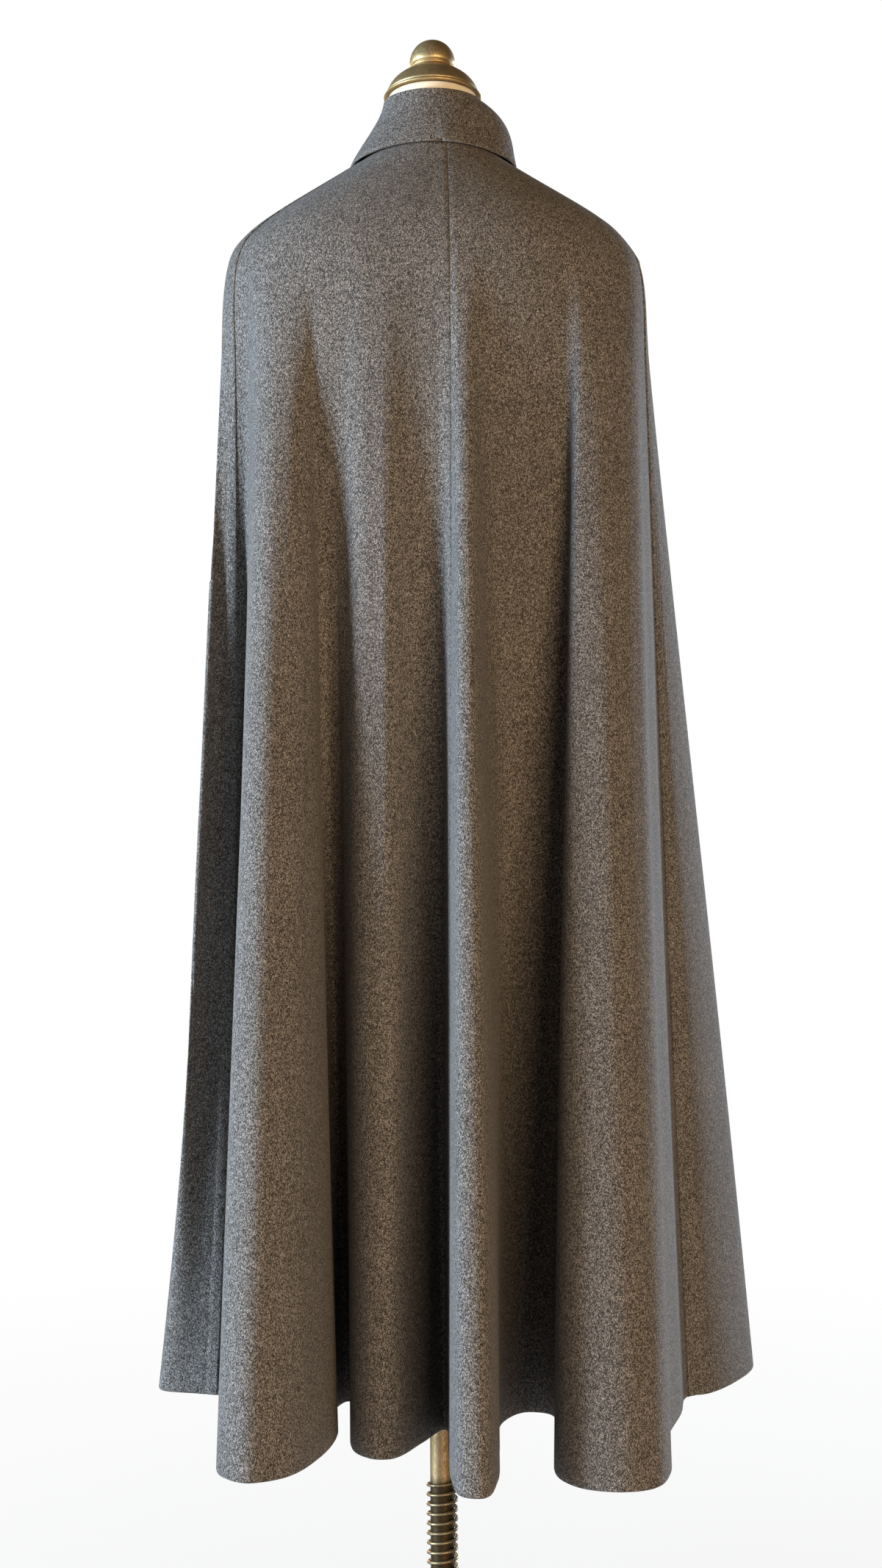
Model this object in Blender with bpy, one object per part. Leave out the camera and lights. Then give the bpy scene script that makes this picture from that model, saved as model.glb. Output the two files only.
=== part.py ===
"""A wool cape coat resting on a limbless dress form with a round, weighted stand.

Metres, +Z up. The origin is the centre of the foot's underside, on the pole's axis. The back of the
cape faces -Y, its front opening faces +Y, and +X is the wearer's right.

The cape is one cone of heavy wool. Every drape line of it starts on the neck seam, bends over the
shoulder and falls to the hem. FOLDS says where each line crosses the shoulder and where it ends on the
hem, so the hem's outline in plan gives the folds, and each panel is its own share of that one surface.
"""

import math

import bpy
import numpy as np

# Cloth: melton wool, and the clearance between sewn pieces.
WALL = 0.0020
SEAM_GAP = 0.0005
LAP_SHIFT = 0.0013

# Neck seam: half-width and half-depth, centre, and heights at the back, the sides and the front.
NECK_HALF = (0.0710, 0.0640)
NECK_CENTRE_Y = 0.005
NECK_Z = (1.521, 1.509, 1.466)
# Near the centre front the drape lines run straight down: they leave the neck this much further round.
FRONT_SPREAD = 19.5
FRONT_SPREAD_REACH = 10.0
# At the back they leave it this much further to the wearer's right, so that the seam there is upright.
BACK_SHIFT = 8.5
BACK_SHIFT_REACH = 45.0

# Shoulder oval, which every drape line crosses, and the corner that the line bends round above it.
# The yoke's curve dips a little under the corner as it nears the neck.
SHOULDER_HALF = (0.2135, 0.128)
SHOULDER_POWER = 2.4
SHOULDER_Z = 1.315
CORNER_Z = (1.442, 1.440, 1.417)
CORNER_LEAN = 0.4
CORNER_DIP = 0.019

# Hem: its height, and the plain cone's hem that the folds swing in and out of.
HEM_Z = 0.265
CONE_HALF = (0.270, 0.210)
CONE_CENTRE_Y = 0.020
CONE_POWER = 2.2
# The folds open softly from this height down. At first each is averaged with its neighbours, over about
# this many degrees of turn.
FOLD_TOP_Z = 1.430
FOLD_SOFTNESS = 0.06
FOLD_BLUR = 3.5

# The drape lines, from the centre back seam round the wearer's right: degrees round the shoulder oval
# from the centre back, hem x, hem y, and haste, how much sooner than a straight line the fold opens.
CENTRE_BACK, RIGHT_SIDE, LEFT_SIDE = "centre back seam", "right side seam", "left side seam"
LAP_RIGHT, LAP_LEFT = "right edge of the lap", "left edge of the lap"
FOLDS = (
    (2.5, 0.0065, -0.220, 0.0, CENTRE_BACK),
    # narrow tube beside the centre back seam
    (3.4, 0.009, -0.305, 0.3, ""),
    (4.3, 0.018, -0.350, 0.4, ""),
    (5.5, 0.038, -0.354, 0.4, ""),
    (7.0, 0.050, -0.305, 0.4, ""),
    (9.8, 0.054, -0.200, -0.1, ""),
    # deep recess
    (16.0, 0.060, -0.090, -0.7, ""),
    (23.0, 0.083, -0.050, -0.8, ""),
    (29.5, 0.106, -0.058, -0.7, ""),
    (34.5, 0.107, -0.180, -0.2, ""),
    # broad fold of the right back
    (38.8, 0.104, -0.290, 0.3, ""),
    (43.0, 0.125, -0.326, 0.2, ""),
    (51.0, 0.160, -0.337, 0.15, ""),
    (60.0, 0.190, -0.325, 0.15, ""),
    (67.7, 0.206, -0.280, 0.2, ""),
    (73.0, 0.214, -0.158, 0.2, ""),
    (77.0, 0.236, -0.060, 0.3, ""),
    (81.0, 0.250, 0.012, 0.4, RIGHT_SIDE),
    # right side panel
    (85.0, 0.272, 0.025, 0.0, ""),
    (90.0, 0.305, 0.075, 0.3, ""),
    (96.0, 0.332, 0.150, 0.2, ""),
    (103.0, 0.318, 0.215, 0.1, ""),
    # right front
    (112.0, 0.262, 0.165, 0.0, ""),
    (118.0, 0.242, 0.250, 0.3, ""),
    (124.0, 0.218, 0.312, 0.4, ""),
    (131.0, 0.185, 0.316, 0.3, ""),
    (137.0, 0.162, 0.250, 0.0, ""),
    (144.0, 0.148, 0.150, 0.0, ""),
    (150.0, 0.133, 0.245, 0.3, ""),
    (156.0, 0.110, 0.312, 0.4, ""),
    (162.0, 0.080, 0.312, 0.3, ""),
    (169.0, 0.048, 0.284, 0.0, ""),
    # flat centre front, where the right front laps over the left
    (176.5, 0.0215, 0.278, 0.0, LAP_RIGHT),
    (183.5, -0.0215, 0.278, 0.0, LAP_LEFT),
    (191.0, -0.048, 0.284, 0.0, ""),
    # left front
    (198.0, -0.082, 0.310, 0.3, ""),
    (204.0, -0.112, 0.316, 0.4, ""),
    (210.0, -0.138, 0.250, 0.0, ""),
    (216.0, -0.152, 0.155, 0.0, ""),
    (222.0, -0.164, 0.250, 0.3, ""),
    (229.0, -0.188, 0.314, 0.4, ""),
    (236.0, -0.222, 0.306, 0.3, ""),
    (242.0, -0.243, 0.240, 0.0, ""),
    (249.0, -0.243, 0.155, 0.0, ""),
    (257.0, -0.270, 0.130, -1.2, ""),
    (264.0, -0.289, 0.100, -2.2, ""),
    # left side panel
    (270.0, -0.288, 0.055, -2.4, ""),
    (281.0, -0.250, 0.040, 0.8, ""),
    (292.0, -0.230, 0.034, 1.4, LEFT_SIDE),
    # recess beside the left back fold
    (300.0, -0.222, 0.028, 2.0, ""),
    (306.0, -0.212, -0.100, 1.2, ""),
    (309.0, -0.207, -0.200, 0.6, ""),
    # outer fold of the left back
    (312.2, -0.200, -0.275, 0.4, ""),
    (317.5, -0.175, -0.300, 0.3, ""),
    (322.5, -0.140, -0.283, 0.3, ""),
    (327.1, -0.112, -0.215, 0.2, ""),
    (330.5, -0.099, -0.130, -0.2, ""),
    # closed pocket between the two folds of the left back
    (333.0, -0.108, -0.050, -0.6, ""),
    (335.0, -0.094, 0.000, -0.7, ""),
    (337.0, -0.078, -0.050, -0.6, ""),
    (339.5, -0.087, -0.130, -0.3, ""),
    # inner fold of the left back
    (342.2, -0.080, -0.200, 0.4, ""),
    (347.5, -0.062, -0.222, 0.4, ""),
    (351.0, -0.044, -0.220, 0.4, ""),
    (355.5, -0.018, -0.165, 0.1, ""),
    (359.7, 0.003, -0.115, -0.1, ""),
)
COLUMNS_PER_LINE = 2
YOKE_ROWS = 5
SKIRT_ROWS = 7
SKIRT_ROW_POWER = 1.6

# Collar: cut in one, turned down over its own stand.
COLLAR_HALF = (0.0465, 0.0465)
COLLAR_CENTRE_Y = 0.008
COLLAR_ROLL_Z = (1.5725, 1.5710, 1.5300)
COLLAR_ROLL_RADIUS = 0.0020
COLLAR_LIFT = (0.0004, 0.0004, 0.0022)
COLLAR_REACH = (0.022, 0.024, 0.170)
COLLAR_CLEAR = (0.0030, 0.0020, 0.0034)
# The fall's bulge: all round, and added on the wearer's right to its upper and its lower half.
COLLAR_BULGE = (0.0020, 0.0310, 0.0030)
COLLAR_END_TURN = 176.0
COLLAR_COLUMNS = 40

# Dress form: height, half-width, half-depth, centre y and forward tilt in degrees of each section.
FORM_SECTIONS = (
    (0.8850, 0.142, 0.088, 0.000, 0.0),
    (0.8930, 0.151, 0.096, 0.000, 0.0),
    (0.9500, 0.158, 0.101, 0.000, 0.0),
    (1.0400, 0.136, 0.092, 0.000, 0.0),
    (1.1300, 0.117, 0.084, 0.002, 0.0),
    (1.2200, 0.136, 0.098, 0.005, 0.0),
    (1.3000, 0.155, 0.103, 0.003, 0.0),
    (1.3700, 0.176, 0.098, 0.000, 0.0),
    (1.4100, 0.186, 0.092, 0.000, 0.0),
    (1.4250, 0.185, 0.088, 0.000, 0.0),
    (1.4365, 0.178, 0.084, -0.001, 1.0),
    (1.4465, 0.163, 0.078, -0.002, 3.0),
    (1.4570, 0.145, 0.072, -0.003, 6.0),
    (1.4690, 0.121, 0.065, -0.003, 10.0),
    (1.4800, 0.096, 0.058, -0.002, 13.0),
    (1.4900, 0.073, 0.051, 0.000, 16.0),
    (1.5010, 0.056, 0.046, 0.003, 18.0),
    (1.5200, 0.0475, 0.0430, 0.006, 18.0),
    (1.5450, 0.0425, 0.0415, 0.008, 13.0),
    (1.5640, 0.0420, 0.0415, 0.008, 9.0),
    (1.5740, 0.0425, 0.0420, 0.008, 9.0),
    (1.5760, 0.0445, 0.0440, 0.008, 9.0),
)
FORM_POWER = 2.2
FORM_SEGMENTS = 36

# Neck cap and finial, turned about an axis that leans forward from the middle of the neck's top.
CAP_TILT = 9.0
CAP_SEAT_Z = 1.5764
CAP_PROFILE = (
    (0.0000, 0.0300),
    (0.0210, 0.0300),
    (0.0270, 0.0272),
    (0.0340, 0.0225),
    (0.0385, 0.0185),
    (0.0425, 0.0135),
    (0.0462, 0.0070),
    (0.0475, 0.0035),
    (0.0470, 0.0008),
    (0.0000, 0.0008),
)
FINIAL_PROFILE = (
    (0.0000, 0.0610),
    (0.0085, 0.0598),
    (0.0158, 0.0553),
    (0.0208, 0.0481),
    (0.0228, 0.0410),
    (0.0230, 0.0375),
    (0.0222, 0.0352),
    (0.0208, 0.0340),
    (0.0222, 0.0328),
    (0.0222, 0.0312),
    (0.0205, 0.0303),
    (0.0000, 0.0303),
)

# Stand.
POLE_RADIUS = 0.0120
POLE_FOOT_Z = 0.0300
POLE_TOP_Z = 0.8765
FLANGE_PROFILE = (
    (0.0000, 0.8847),
    (0.0450, 0.8847),
    (0.0450, 0.8800),
    (0.0240, 0.8768),
    (0.0000, 0.8768),
)
SPRING_WIRE = 0.00175
SPRING_RADIUS = 0.01430
SPRING_PITCH = 0.0097
SPRING_FOOT_Z = 0.0590
SPRING_TURNS = 13
SPRING_POINTS_PER_TURN = 12
HUB_PROFILE = (
    (0.0125, 0.0560),
    (0.0210, 0.0560),
    (0.0240, 0.0530),
    (0.0260, 0.0320),
    (0.0380, 0.0250),
    (0.0400, 0.0223),
    (0.0000, 0.0223),
    (0.0000, 0.0295),
    (0.0125, 0.0295),
)
BASE_PROFILE = (
    (0.000, 0.0220),
    (0.050, 0.0220),
    (0.150, 0.0165),
    (0.190, 0.0130),
    (0.198, 0.0095),
    (0.200, 0.0050),
    (0.200, 0.0000),
    (0.000, 0.0000),
)
TURNED_STEPS = 40

# Colours are 8-bit sRGB.
WOOL = ((104, 97, 91), 0.95, 0.0)
COVER = ((236, 222, 196), 0.80, 0.0)
BRASS = ((158, 134, 88), 0.35, 1.0)
BRONZE = ((94, 70, 45), 0.40, 1.0)
IRON = ((48, 42, 36), 0.55, 1.0)


def around(turn, back_side_front):
    """A value that goes smoothly round the body, given at the back, the sides and the front."""
    back, side, front = back_side_front
    facing = np.cos(np.radians(turn))
    return side + np.where(facing > 0, back - side, front - side) * facing**2


def oval(turn, half, power, centre_y):
    """x and y of the point on a superellipse at a turn in degrees from the back, towards +X."""
    sine, cosine = np.sin(np.radians(turn)), np.cos(np.radians(turn))
    x = half[0] * np.sign(sine) * np.abs(sine) ** (2 / power)
    y = centre_y - half[1] * np.sign(cosine) * np.abs(cosine) ** (2 / power)
    return x, y


def line_of(name):
    """The place in FOLDS of the drape line that a seam or an edge lies on."""
    return [line[4] for line in FOLDS].index(name)


def folds_at(u):
    """Shoulder turn, hem x, hem y and haste at the line numbers u, smooth through every line of FOLDS."""
    lines = np.array([line[:4] for line in FOLDS])
    count = len(lines)
    rise = np.roll(lines, -1, axis=0) - lines
    rise[-1, 0] += 360
    span = np.sqrt(np.hypot(rise[:, 1], rise[:, 2]))[:, None]
    secant = rise / span
    before, before_span = np.roll(secant, 1, axis=0), np.roll(span, 1, axis=0)
    tangent = (before * span + secant * before_span) / (span + before_span)
    whole = np.floor(u).astype(int)
    part = (u - whole)[..., None]
    here, after = whole % count, (whole + 1) % count
    bend = (1 - part) ** 2 * part * tangent[here] - part**2 * (1 - part) * tangent[after]
    found = lines[here] + rise[here] * part**2 * (3 - 2 * part) + bend * span[here]
    found[..., 0] += 360 * (whole // count)
    return np.moveaxis(found, -1, 0)


def blurred_folds(u):
    """How far the hem is off the plain cone's, averaged over each line's neighbours with a bell curve."""
    lines = np.arange(0, len(FOLDS), 0.125)
    turn, hem_x, hem_y, _ = folds_at(lines)
    off = np.stack([hem_x, hem_y]) - oval(turn, CONE_HALF, CONE_POWER, CONE_CENTRE_Y)
    apart = (turn[:, None] - turn + 180) % 360 - 180
    share = np.exp(-0.5 * (apart / FOLD_BLUR) ** 2) * np.gradient(turn)
    mean = share @ off.T / share.sum(axis=1)[:, None]
    return np.stack([np.interp(u, lines, mean[:, i], period=len(FOLDS)) for i in (0, 1)])


def neck_turn(turn):
    """The turn at which a drape line leaves the neck seam."""
    off_front = (turn - 180 + 180) % 360 - 180
    pull = np.abs(off_front) / FRONT_SPREAD_REACH
    off_back = (turn + 180) % 360 - 180
    shift = BACK_SHIFT * np.exp(-((off_back / BACK_SHIFT_REACH) ** 2))
    return turn + np.sign(off_front) * FRONT_SPREAD * pull * np.exp(1 - pull) + shift


def cape(u, v):
    """Points of the cape's outer face. v is 0 on the neck seam, 1 on the shoulder oval and 2 on the hem.

    The skirt is a plain cone, and the yoke a Bezier curve whose lower handle is on the corner, with its
    upper one a little below. The folds move both sideways, the more so the lower a point is.
    """
    turn, hem_x, hem_y, haste = folds_at(u)
    shoulder = np.stack([*oval(turn, SHOULDER_HALF, SHOULDER_POWER, 0.0), np.full_like(turn, SHOULDER_Z)])
    cone = np.stack([*oval(turn, CONE_HALF, CONE_POWER, CONE_CENTRE_Y), np.full_like(turn, HEM_Z)])
    skirt = shoulder + (cone - shoulder) * np.clip(v - 1, 0, 1)

    corner_z = around(turn, CORNER_Z)
    lean = CORNER_LEAN * (corner_z - SHOULDER_Z) / (HEM_Z - SHOULDER_Z)
    corner = np.stack([*(shoulder + (cone - shoulder) * lean)[:2], corner_z])
    seam_turn = neck_turn(turn)
    neck = np.stack([*oval(seam_turn, NECK_HALF, 2.0, NECK_CENTRE_Y), around(seam_turn, NECK_Z)])
    rise = np.clip(v, 0, 1)
    yoke = neck * (1 - rise) ** 3 + corner * 3 * rise * (1 - rise) + shoulder * rise**3
    yoke[2] -= CORNER_DIP * 3 * rise * (1 - rise) ** 2

    points = np.where(v > 1, skirt, yoke)
    opened = np.clip((FOLD_TOP_Z - points[2]) / (FOLD_TOP_Z - HEM_Z), 0, 1)
    soft = (np.hypot(opened, FOLD_SOFTNESS) - FOLD_SOFTNESS) / (math.hypot(1, FOLD_SOFTNESS) - FOLD_SOFTNESS)
    fold = np.stack([hem_x, hem_y]) - cone[:2]
    fold += (blurred_folds(u) - fold) * (1 - opened) ** 3
    points[:2] += fold * (soft + haste * soft * (1 - soft))
    return np.moveaxis(points, 0, -1)


def unit(vectors):
    return vectors / np.linalg.norm(vectors, axis=-1, keepdims=True)


def cape_frame(u, v):
    """Unit vectors at points of the cape: along the cloth towards a larger u, and out of the cloth."""
    step = 0.002
    along = unit(cape(u + step, v) - cape(u - step, v))
    low, high = np.clip(v - step, 0, 2), np.clip(v + step, 0, 2)
    down = cape(u, high) - cape(u, low)
    return along, unit(np.cross(down, along))


def cloth_wall(outer, inner):
    """Corner points and faces of the closed wall between two grids of points.

    Where two panels meet, both rims are split along the same diagonal, so a twisted rim stays clear.
    """
    rows, columns = outer.shape[:2]
    near = np.arange(rows * columns).reshape(rows, columns)
    far = near + rows * columns
    quads = np.stack([near[:-1, :-1], near[1:, :-1], near[1:, 1:], near[:-1, 1:]], axis=-1).reshape(-1, 4)
    faces = quads.tolist() + (quads + rows * columns)[:, ::-1].tolist()
    for edge, far_edge in ((near[0], far[0]), (near[-1, ::-1], far[-1, ::-1])):
        faces.extend(np.stack([edge[:-1], edge[1:], far_edge[1:], far_edge[:-1]], axis=-1).tolist())
    for column, turned_over in ((0, True), (-1, False)):
        a, b = near[:-1, column], near[1:, column]
        far_a, far_b = far[:-1, column], far[1:, column]
        halves = np.concatenate([np.stack([a, b, far_b], axis=-1), np.stack([a, far_b, far_a], axis=-1)])
        faces.extend((halves[:, ::-1] if turned_over else halves).tolist())
    return np.concatenate([outer.reshape(-1, 3), inner.reshape(-1, 3)]), faces


def finish(name, look):
    """A plain material from an 8-bit sRGB colour, a roughness and a metallic value."""
    colour, roughness, metallic = look
    linear = [((c / 255 + 0.055) / 1.055) ** 2.4 for c in colour]
    material = bpy.data.materials.new(name)
    material.use_nodes = True
    shader = material.node_tree.nodes["Principled BSDF"]
    shader.inputs["Base Color"].default_value = (*linear, 1)
    shader.inputs["Roughness"].default_value = roughness
    shader.inputs["Metallic"].default_value = metallic
    return material


def place(name, mesh_or_curve, material, angle=30.0):
    """Adds a named object with its material, its round faces shaded smooth."""
    mesh_or_curve.materials.append(material)
    if isinstance(mesh_or_curve, bpy.types.Mesh):
        mesh_or_curve.shade_smooth()
        mesh_or_curve.set_sharp_from_angle(angle=math.radians(angle))
    piece = bpy.data.objects.new(name, mesh_or_curve)
    bpy.context.scene.collection.objects.link(piece)
    return piece


def mesh_from(name, points, faces):
    mesh = bpy.data.meshes.new(name)
    mesh.from_pydata(points.tolist(), [], faces)
    mesh.update()
    return mesh


def panel(name, first, last, material, lap=0.0):
    """One cut panel, from one drape line to another, kept off its neighbours by half the seam's gap.

    lap is the shift out of the cloth, at full within the two lap lines and nothing one line beyond.
    """
    u = np.linspace(first, last, (last - first) * COLUMNS_PER_LINE + 1)
    skirt_rows = 1 + np.linspace(0, 1, SKIRT_ROWS + 1)[1:] ** SKIRT_ROW_POWER
    v = np.concatenate([np.linspace(0, 1, YOKE_ROWS + 1), skirt_rows])
    grid_u, grid_v = np.meshgrid(u, v)
    along, out = cape_frame(grid_u, grid_v)
    outer = cape(grid_u, grid_v)
    outer[:, 0] += along[:, 0] * SEAM_GAP / 2
    outer[:, -1] -= along[:, -1] * SEAM_GAP / 2
    if lap:
        middle = (line_of(LAP_RIGHT) + line_of(LAP_LEFT)) / 2
        share = np.clip(1.5 - np.abs(grid_u - middle), 0, 1)
        outer += out * (lap * share)[..., None]
    return place(name, mesh_from(name, *cloth_wall(outer, outer - out * WALL)), material)


def collar_middle(turn, w):
    """Middle of the collar's cloth. w is 0 at the neck seam, 1 to 2 over the roll and 3 at the fall's edge.

    The stand is a straight line up to the roll, the roll a half circle, and the fall a Bezier curve down
    to the yoke's own surface, moved out.
    """
    lines = np.arange(-1, len(FOLDS) + 2) * 1.0
    u = np.interp(turn % 360, neck_turn(folds_at(lines)[0]), lines)
    outward = np.stack([np.sin(np.radians(turn)), -np.cos(np.radians(turn)), np.zeros_like(turn)], axis=-1)
    up = np.array([0.0, 0.0, 1.0])
    centre = np.stack([*oval(turn, COLLAR_HALF, 2.0, COLLAR_CENTRE_Y), around(turn, COLLAR_ROLL_Z)], axis=-1)
    foot = cape(u, np.zeros_like(u)) - outward * WALL / 2
    foot = foot + up * around(turn, COLLAR_LIFT)[..., None]
    reach = around(turn, COLLAR_REACH)
    edge = cape(u, reach) + cape_frame(u, reach)[1] * (around(turn, COLLAR_CLEAR) + WALL / 2)[..., None]

    part = np.clip(w, 0, 1)[..., None]
    stand = foot + (centre - outward * COLLAR_ROLL_RADIUS - foot) * part
    angle = (np.pi * np.clip(w - 1, 0, 1))[..., None]
    roll = centre + COLLAR_ROLL_RADIUS * (up * np.sin(angle) - outward * np.cos(angle))
    start = centre + outward * COLLAR_ROLL_RADIUS
    right = (np.clip(np.sin(np.radians(turn)), 0, 1) ** 2)[..., None]
    part = np.clip(w - 2, 0, 1)[..., None]
    all_round, upper_right, lower_right = COLLAR_BULGE
    upper = start + (edge - start) * [0.05, 0.05, 0.33] + outward * (all_round + upper_right * right)
    lower = start + (edge - start) * [0.72, 0.72, 0.72] + outward * (all_round + lower_right * right)
    fall = (
        start * (1 - part) ** 3
        + upper * 3 * part * (1 - part) ** 2
        + lower * 3 * part**2 * (1 - part)
        + edge * part**3
    )
    w = w[..., None]
    return np.where(w < 1, stand, np.where(w < 2, roll, fall))


def collar(material):
    """Turned-down collar, open at the centre front."""
    turn, w = np.meshgrid(
        np.linspace(-COLLAR_END_TURN, COLLAR_END_TURN, COLLAR_COLUMNS + 1),
        np.array([0, 0.34, 0.67, 1, 1.25, 1.5, 1.75, 2, 2.2, 2.45, 2.7, 3]),
    )
    step = 0.01
    along = collar_middle(turn + 1, w) - collar_middle(turn - 1, w)
    down = collar_middle(turn, np.clip(w + step, 0, 3)) - collar_middle(turn, np.clip(w - step, 0, 3))
    out = unit(np.cross(down, along))
    middle = collar_middle(turn, w)
    wall = cloth_wall(middle + out * WALL / 2, middle - out * WALL / 2)
    return place("collar", mesh_from("collar", *wall), material)


def form_torso(material):
    """Padded torso and neck: ovals joined in rings, with a flat underside and a tilted flat top."""
    turn = np.arange(FORM_SEGMENTS) * 360 / FORM_SEGMENTS
    rings = []
    for z, half_width, half_depth, centre_y, tilt in FORM_SECTIONS:
        x, y = oval(turn, (half_width, half_depth), FORM_POWER if z < NECK_Z[0] else 2.0, centre_y)
        rings.append(np.stack([x, y, z - (y - centre_y) * math.tan(math.radians(tilt))], axis=-1))
    count = len(rings)
    ring = np.arange(count * FORM_SEGMENTS).reshape(count, FORM_SEGMENTS)
    beside = np.roll(ring, -1, axis=1)
    faces = np.stack([ring[:-1], beside[:-1], beside[1:], ring[1:]], axis=-1).reshape(-1, 4).tolist()
    faces.append(ring[0, ::-1].tolist())
    faces.append(ring[-1].tolist())
    return place("form_torso", mesh_from("form_torso", np.concatenate(rings), faces), material)


def turned(name, profile, material):
    """A piece turned about Z from a profile of radii and heights that runs down its outer side."""
    points = np.array([(radius, 0.0, height) for radius, height in profile])
    mesh = bpy.data.meshes.new(name)
    joins = [(i, i + 1) for i in range(len(points) - 1)]
    if profile[-1][0] > 0:
        joins.append((len(points) - 1, 0))
    mesh.from_pydata(points.tolist(), joins, [])
    piece = place(name, mesh, material)
    screw = piece.modifiers.new("turn", "SCREW")
    screw.axis = "Z"
    screw.steps = screw.render_steps = TURNED_STEPS
    screw.use_merge_vertices = True
    screw.merge_threshold = 0.00001
    return piece


def pole(material):
    """Straight tube, modelled solid, from the hub's socket to the flange."""
    points = [(0, POLE_TOP_Z), (POLE_RADIUS, POLE_TOP_Z), (POLE_RADIUS, POLE_FOOT_Z), (0, POLE_FOOT_Z)]
    return turned("pole", points, material)


def spring(material):
    """Coil spring round the pole's foot: a helix of round wire with filled ends."""
    count = SPRING_TURNS * SPRING_POINTS_PER_TURN + 1
    curve = bpy.data.curves.new("spring", "CURVE")
    curve.dimensions = "3D"
    curve.bevel_depth = SPRING_WIRE
    curve.bevel_resolution = 1
    curve.use_fill_caps = True
    wire = curve.splines.new("POLY")
    wire.points.add(count - 1)
    for i in range(count):
        turns = i / SPRING_POINTS_PER_TURN
        angle = 2 * math.pi * turns
        x, y = SPRING_RADIUS * math.cos(angle), SPRING_RADIUS * math.sin(angle)
        wire.points[i].co = (x, y, SPRING_FOOT_Z + SPRING_PITCH * turns, 1)
    return place("spring", curve, material)


def neck_cap(material):
    """Domed cap on the neck, leaning forward with it."""
    piece = turned("neck_cap", CAP_PROFILE, material)
    set_on_neck(piece)
    return piece


def finial(material):
    """Turned knob on the cap."""
    piece = turned("finial", FINIAL_PROFILE, material)
    set_on_neck(piece)
    return piece


def set_on_neck(piece):
    piece.location = (0, COLLAR_CENTRE_Y, CAP_SEAT_Z)
    piece.rotation_euler = (-math.radians(CAP_TILT), 0, 0)


def clear_scene():
    for old in list(bpy.data.objects):
        bpy.data.objects.remove(old)


def build():
    clear_scene()
    wool = finish("wool", WOOL)
    seams = [line_of(CENTRE_BACK), line_of(RIGHT_SIDE), line_of(LAP_LEFT)]
    panel("back_right", seams[0], seams[1], wool)
    panel("front_right", seams[1], seams[2], wool, lap=LAP_SHIFT)
    panel("front_left", line_of(LAP_RIGHT), line_of(LEFT_SIDE), wool, lap=-LAP_SHIFT)
    panel("back_left", line_of(LEFT_SIDE), len(FOLDS) + seams[0], wool)
    collar(wool)
    form_torso(finish("cover", COVER))
    brass = finish("brass", BRASS)
    neck_cap(brass)
    finial(brass)
    bronze = finish("bronze", BRONZE)
    pole(bronze)
    spring(bronze)
    iron = finish("iron", IRON)
    turned("flange", FLANGE_PROFILE, iron)
    turned("hub", HUB_PROFILE, iron)
    turned("base", BASE_PROFILE, iron)


build()
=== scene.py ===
"""Looks of a wool cape coat on a limbless dress form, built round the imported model.

Metres, +Z up, the back of the cape towards -Y. The cape's panels are shares of one draped surface, whose
two parameters are the drape line (u) and the way down it (v: 0 neck seam, 1 shoulder oval, 2 hem).
"""

import logging
import math
from dataclasses import dataclass, field
from enum import Enum

import bpy
import numpy as np
from bpy.types import Material, Node, NodeSocket, NodeTree, Object
from mathutils import Euler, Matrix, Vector


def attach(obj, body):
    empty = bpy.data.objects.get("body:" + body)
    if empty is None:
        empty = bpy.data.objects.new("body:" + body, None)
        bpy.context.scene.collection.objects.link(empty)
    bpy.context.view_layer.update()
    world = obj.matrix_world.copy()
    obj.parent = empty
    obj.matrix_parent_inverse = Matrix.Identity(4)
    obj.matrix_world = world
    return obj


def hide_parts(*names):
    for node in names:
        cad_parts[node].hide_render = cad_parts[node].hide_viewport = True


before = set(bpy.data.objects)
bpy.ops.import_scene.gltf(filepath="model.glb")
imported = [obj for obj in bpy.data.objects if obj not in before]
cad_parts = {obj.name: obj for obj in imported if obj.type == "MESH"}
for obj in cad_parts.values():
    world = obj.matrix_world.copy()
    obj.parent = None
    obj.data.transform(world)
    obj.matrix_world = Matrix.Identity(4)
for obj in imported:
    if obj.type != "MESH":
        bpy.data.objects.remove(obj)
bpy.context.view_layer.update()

Rgb = tuple[float, float, float]
Triple = tuple[float, float, float]
Pair = tuple[float, float]
Profile = list[Pair]
Surface = tuple[np.ndarray, list[np.ndarray]]

LOG = logging.getLogger("cape")
TINY = 1e-12


class Lap(Enum):
    """How a front panel lies in the overlap at the centre front."""

    NONE = 0.0
    OVER = 0.0013
    UNDER = -0.0013


class Edge(Enum):
    """How the side of a panel is finished."""

    PLAIN_SEAM = "pressed open, with a fine groove"
    TUCKED = "goes under its neighbour's lapped edge"
    LAPPED = "turned under, raised and topstitched"
    RAW = "free edge, turned under and hidden by the lap"


# ---------------------------------------------------------------- meshes


def unit(vectors: np.ndarray) -> np.ndarray:
    """Vectors scaled to length one."""
    return vectors / np.maximum(np.linalg.norm(vectors, axis=-1, keepdims=True), TINY)


def smooth_step(x: np.ndarray) -> np.ndarray:
    """0 below 0, 1 above 1, and 3x^2 - 2x^3 between."""
    x = np.clip(x, 0, 1)
    return x * x * (3 - 2 * x)


def bell(x: np.ndarray) -> np.ndarray:
    """A bell curve: 1 at 0, and e to the power of minus x squared elsewhere."""
    return np.exp(-(x**2))


def quads_of(index: np.ndarray) -> np.ndarray:
    """The quads of a grid of vertex numbers, each as (n, 4)."""
    corners = (index[:-1, :-1], index[1:, :-1], index[1:, 1:], index[:-1, 1:])
    return np.stack(corners, axis=-1).reshape(-1, 4)


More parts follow.
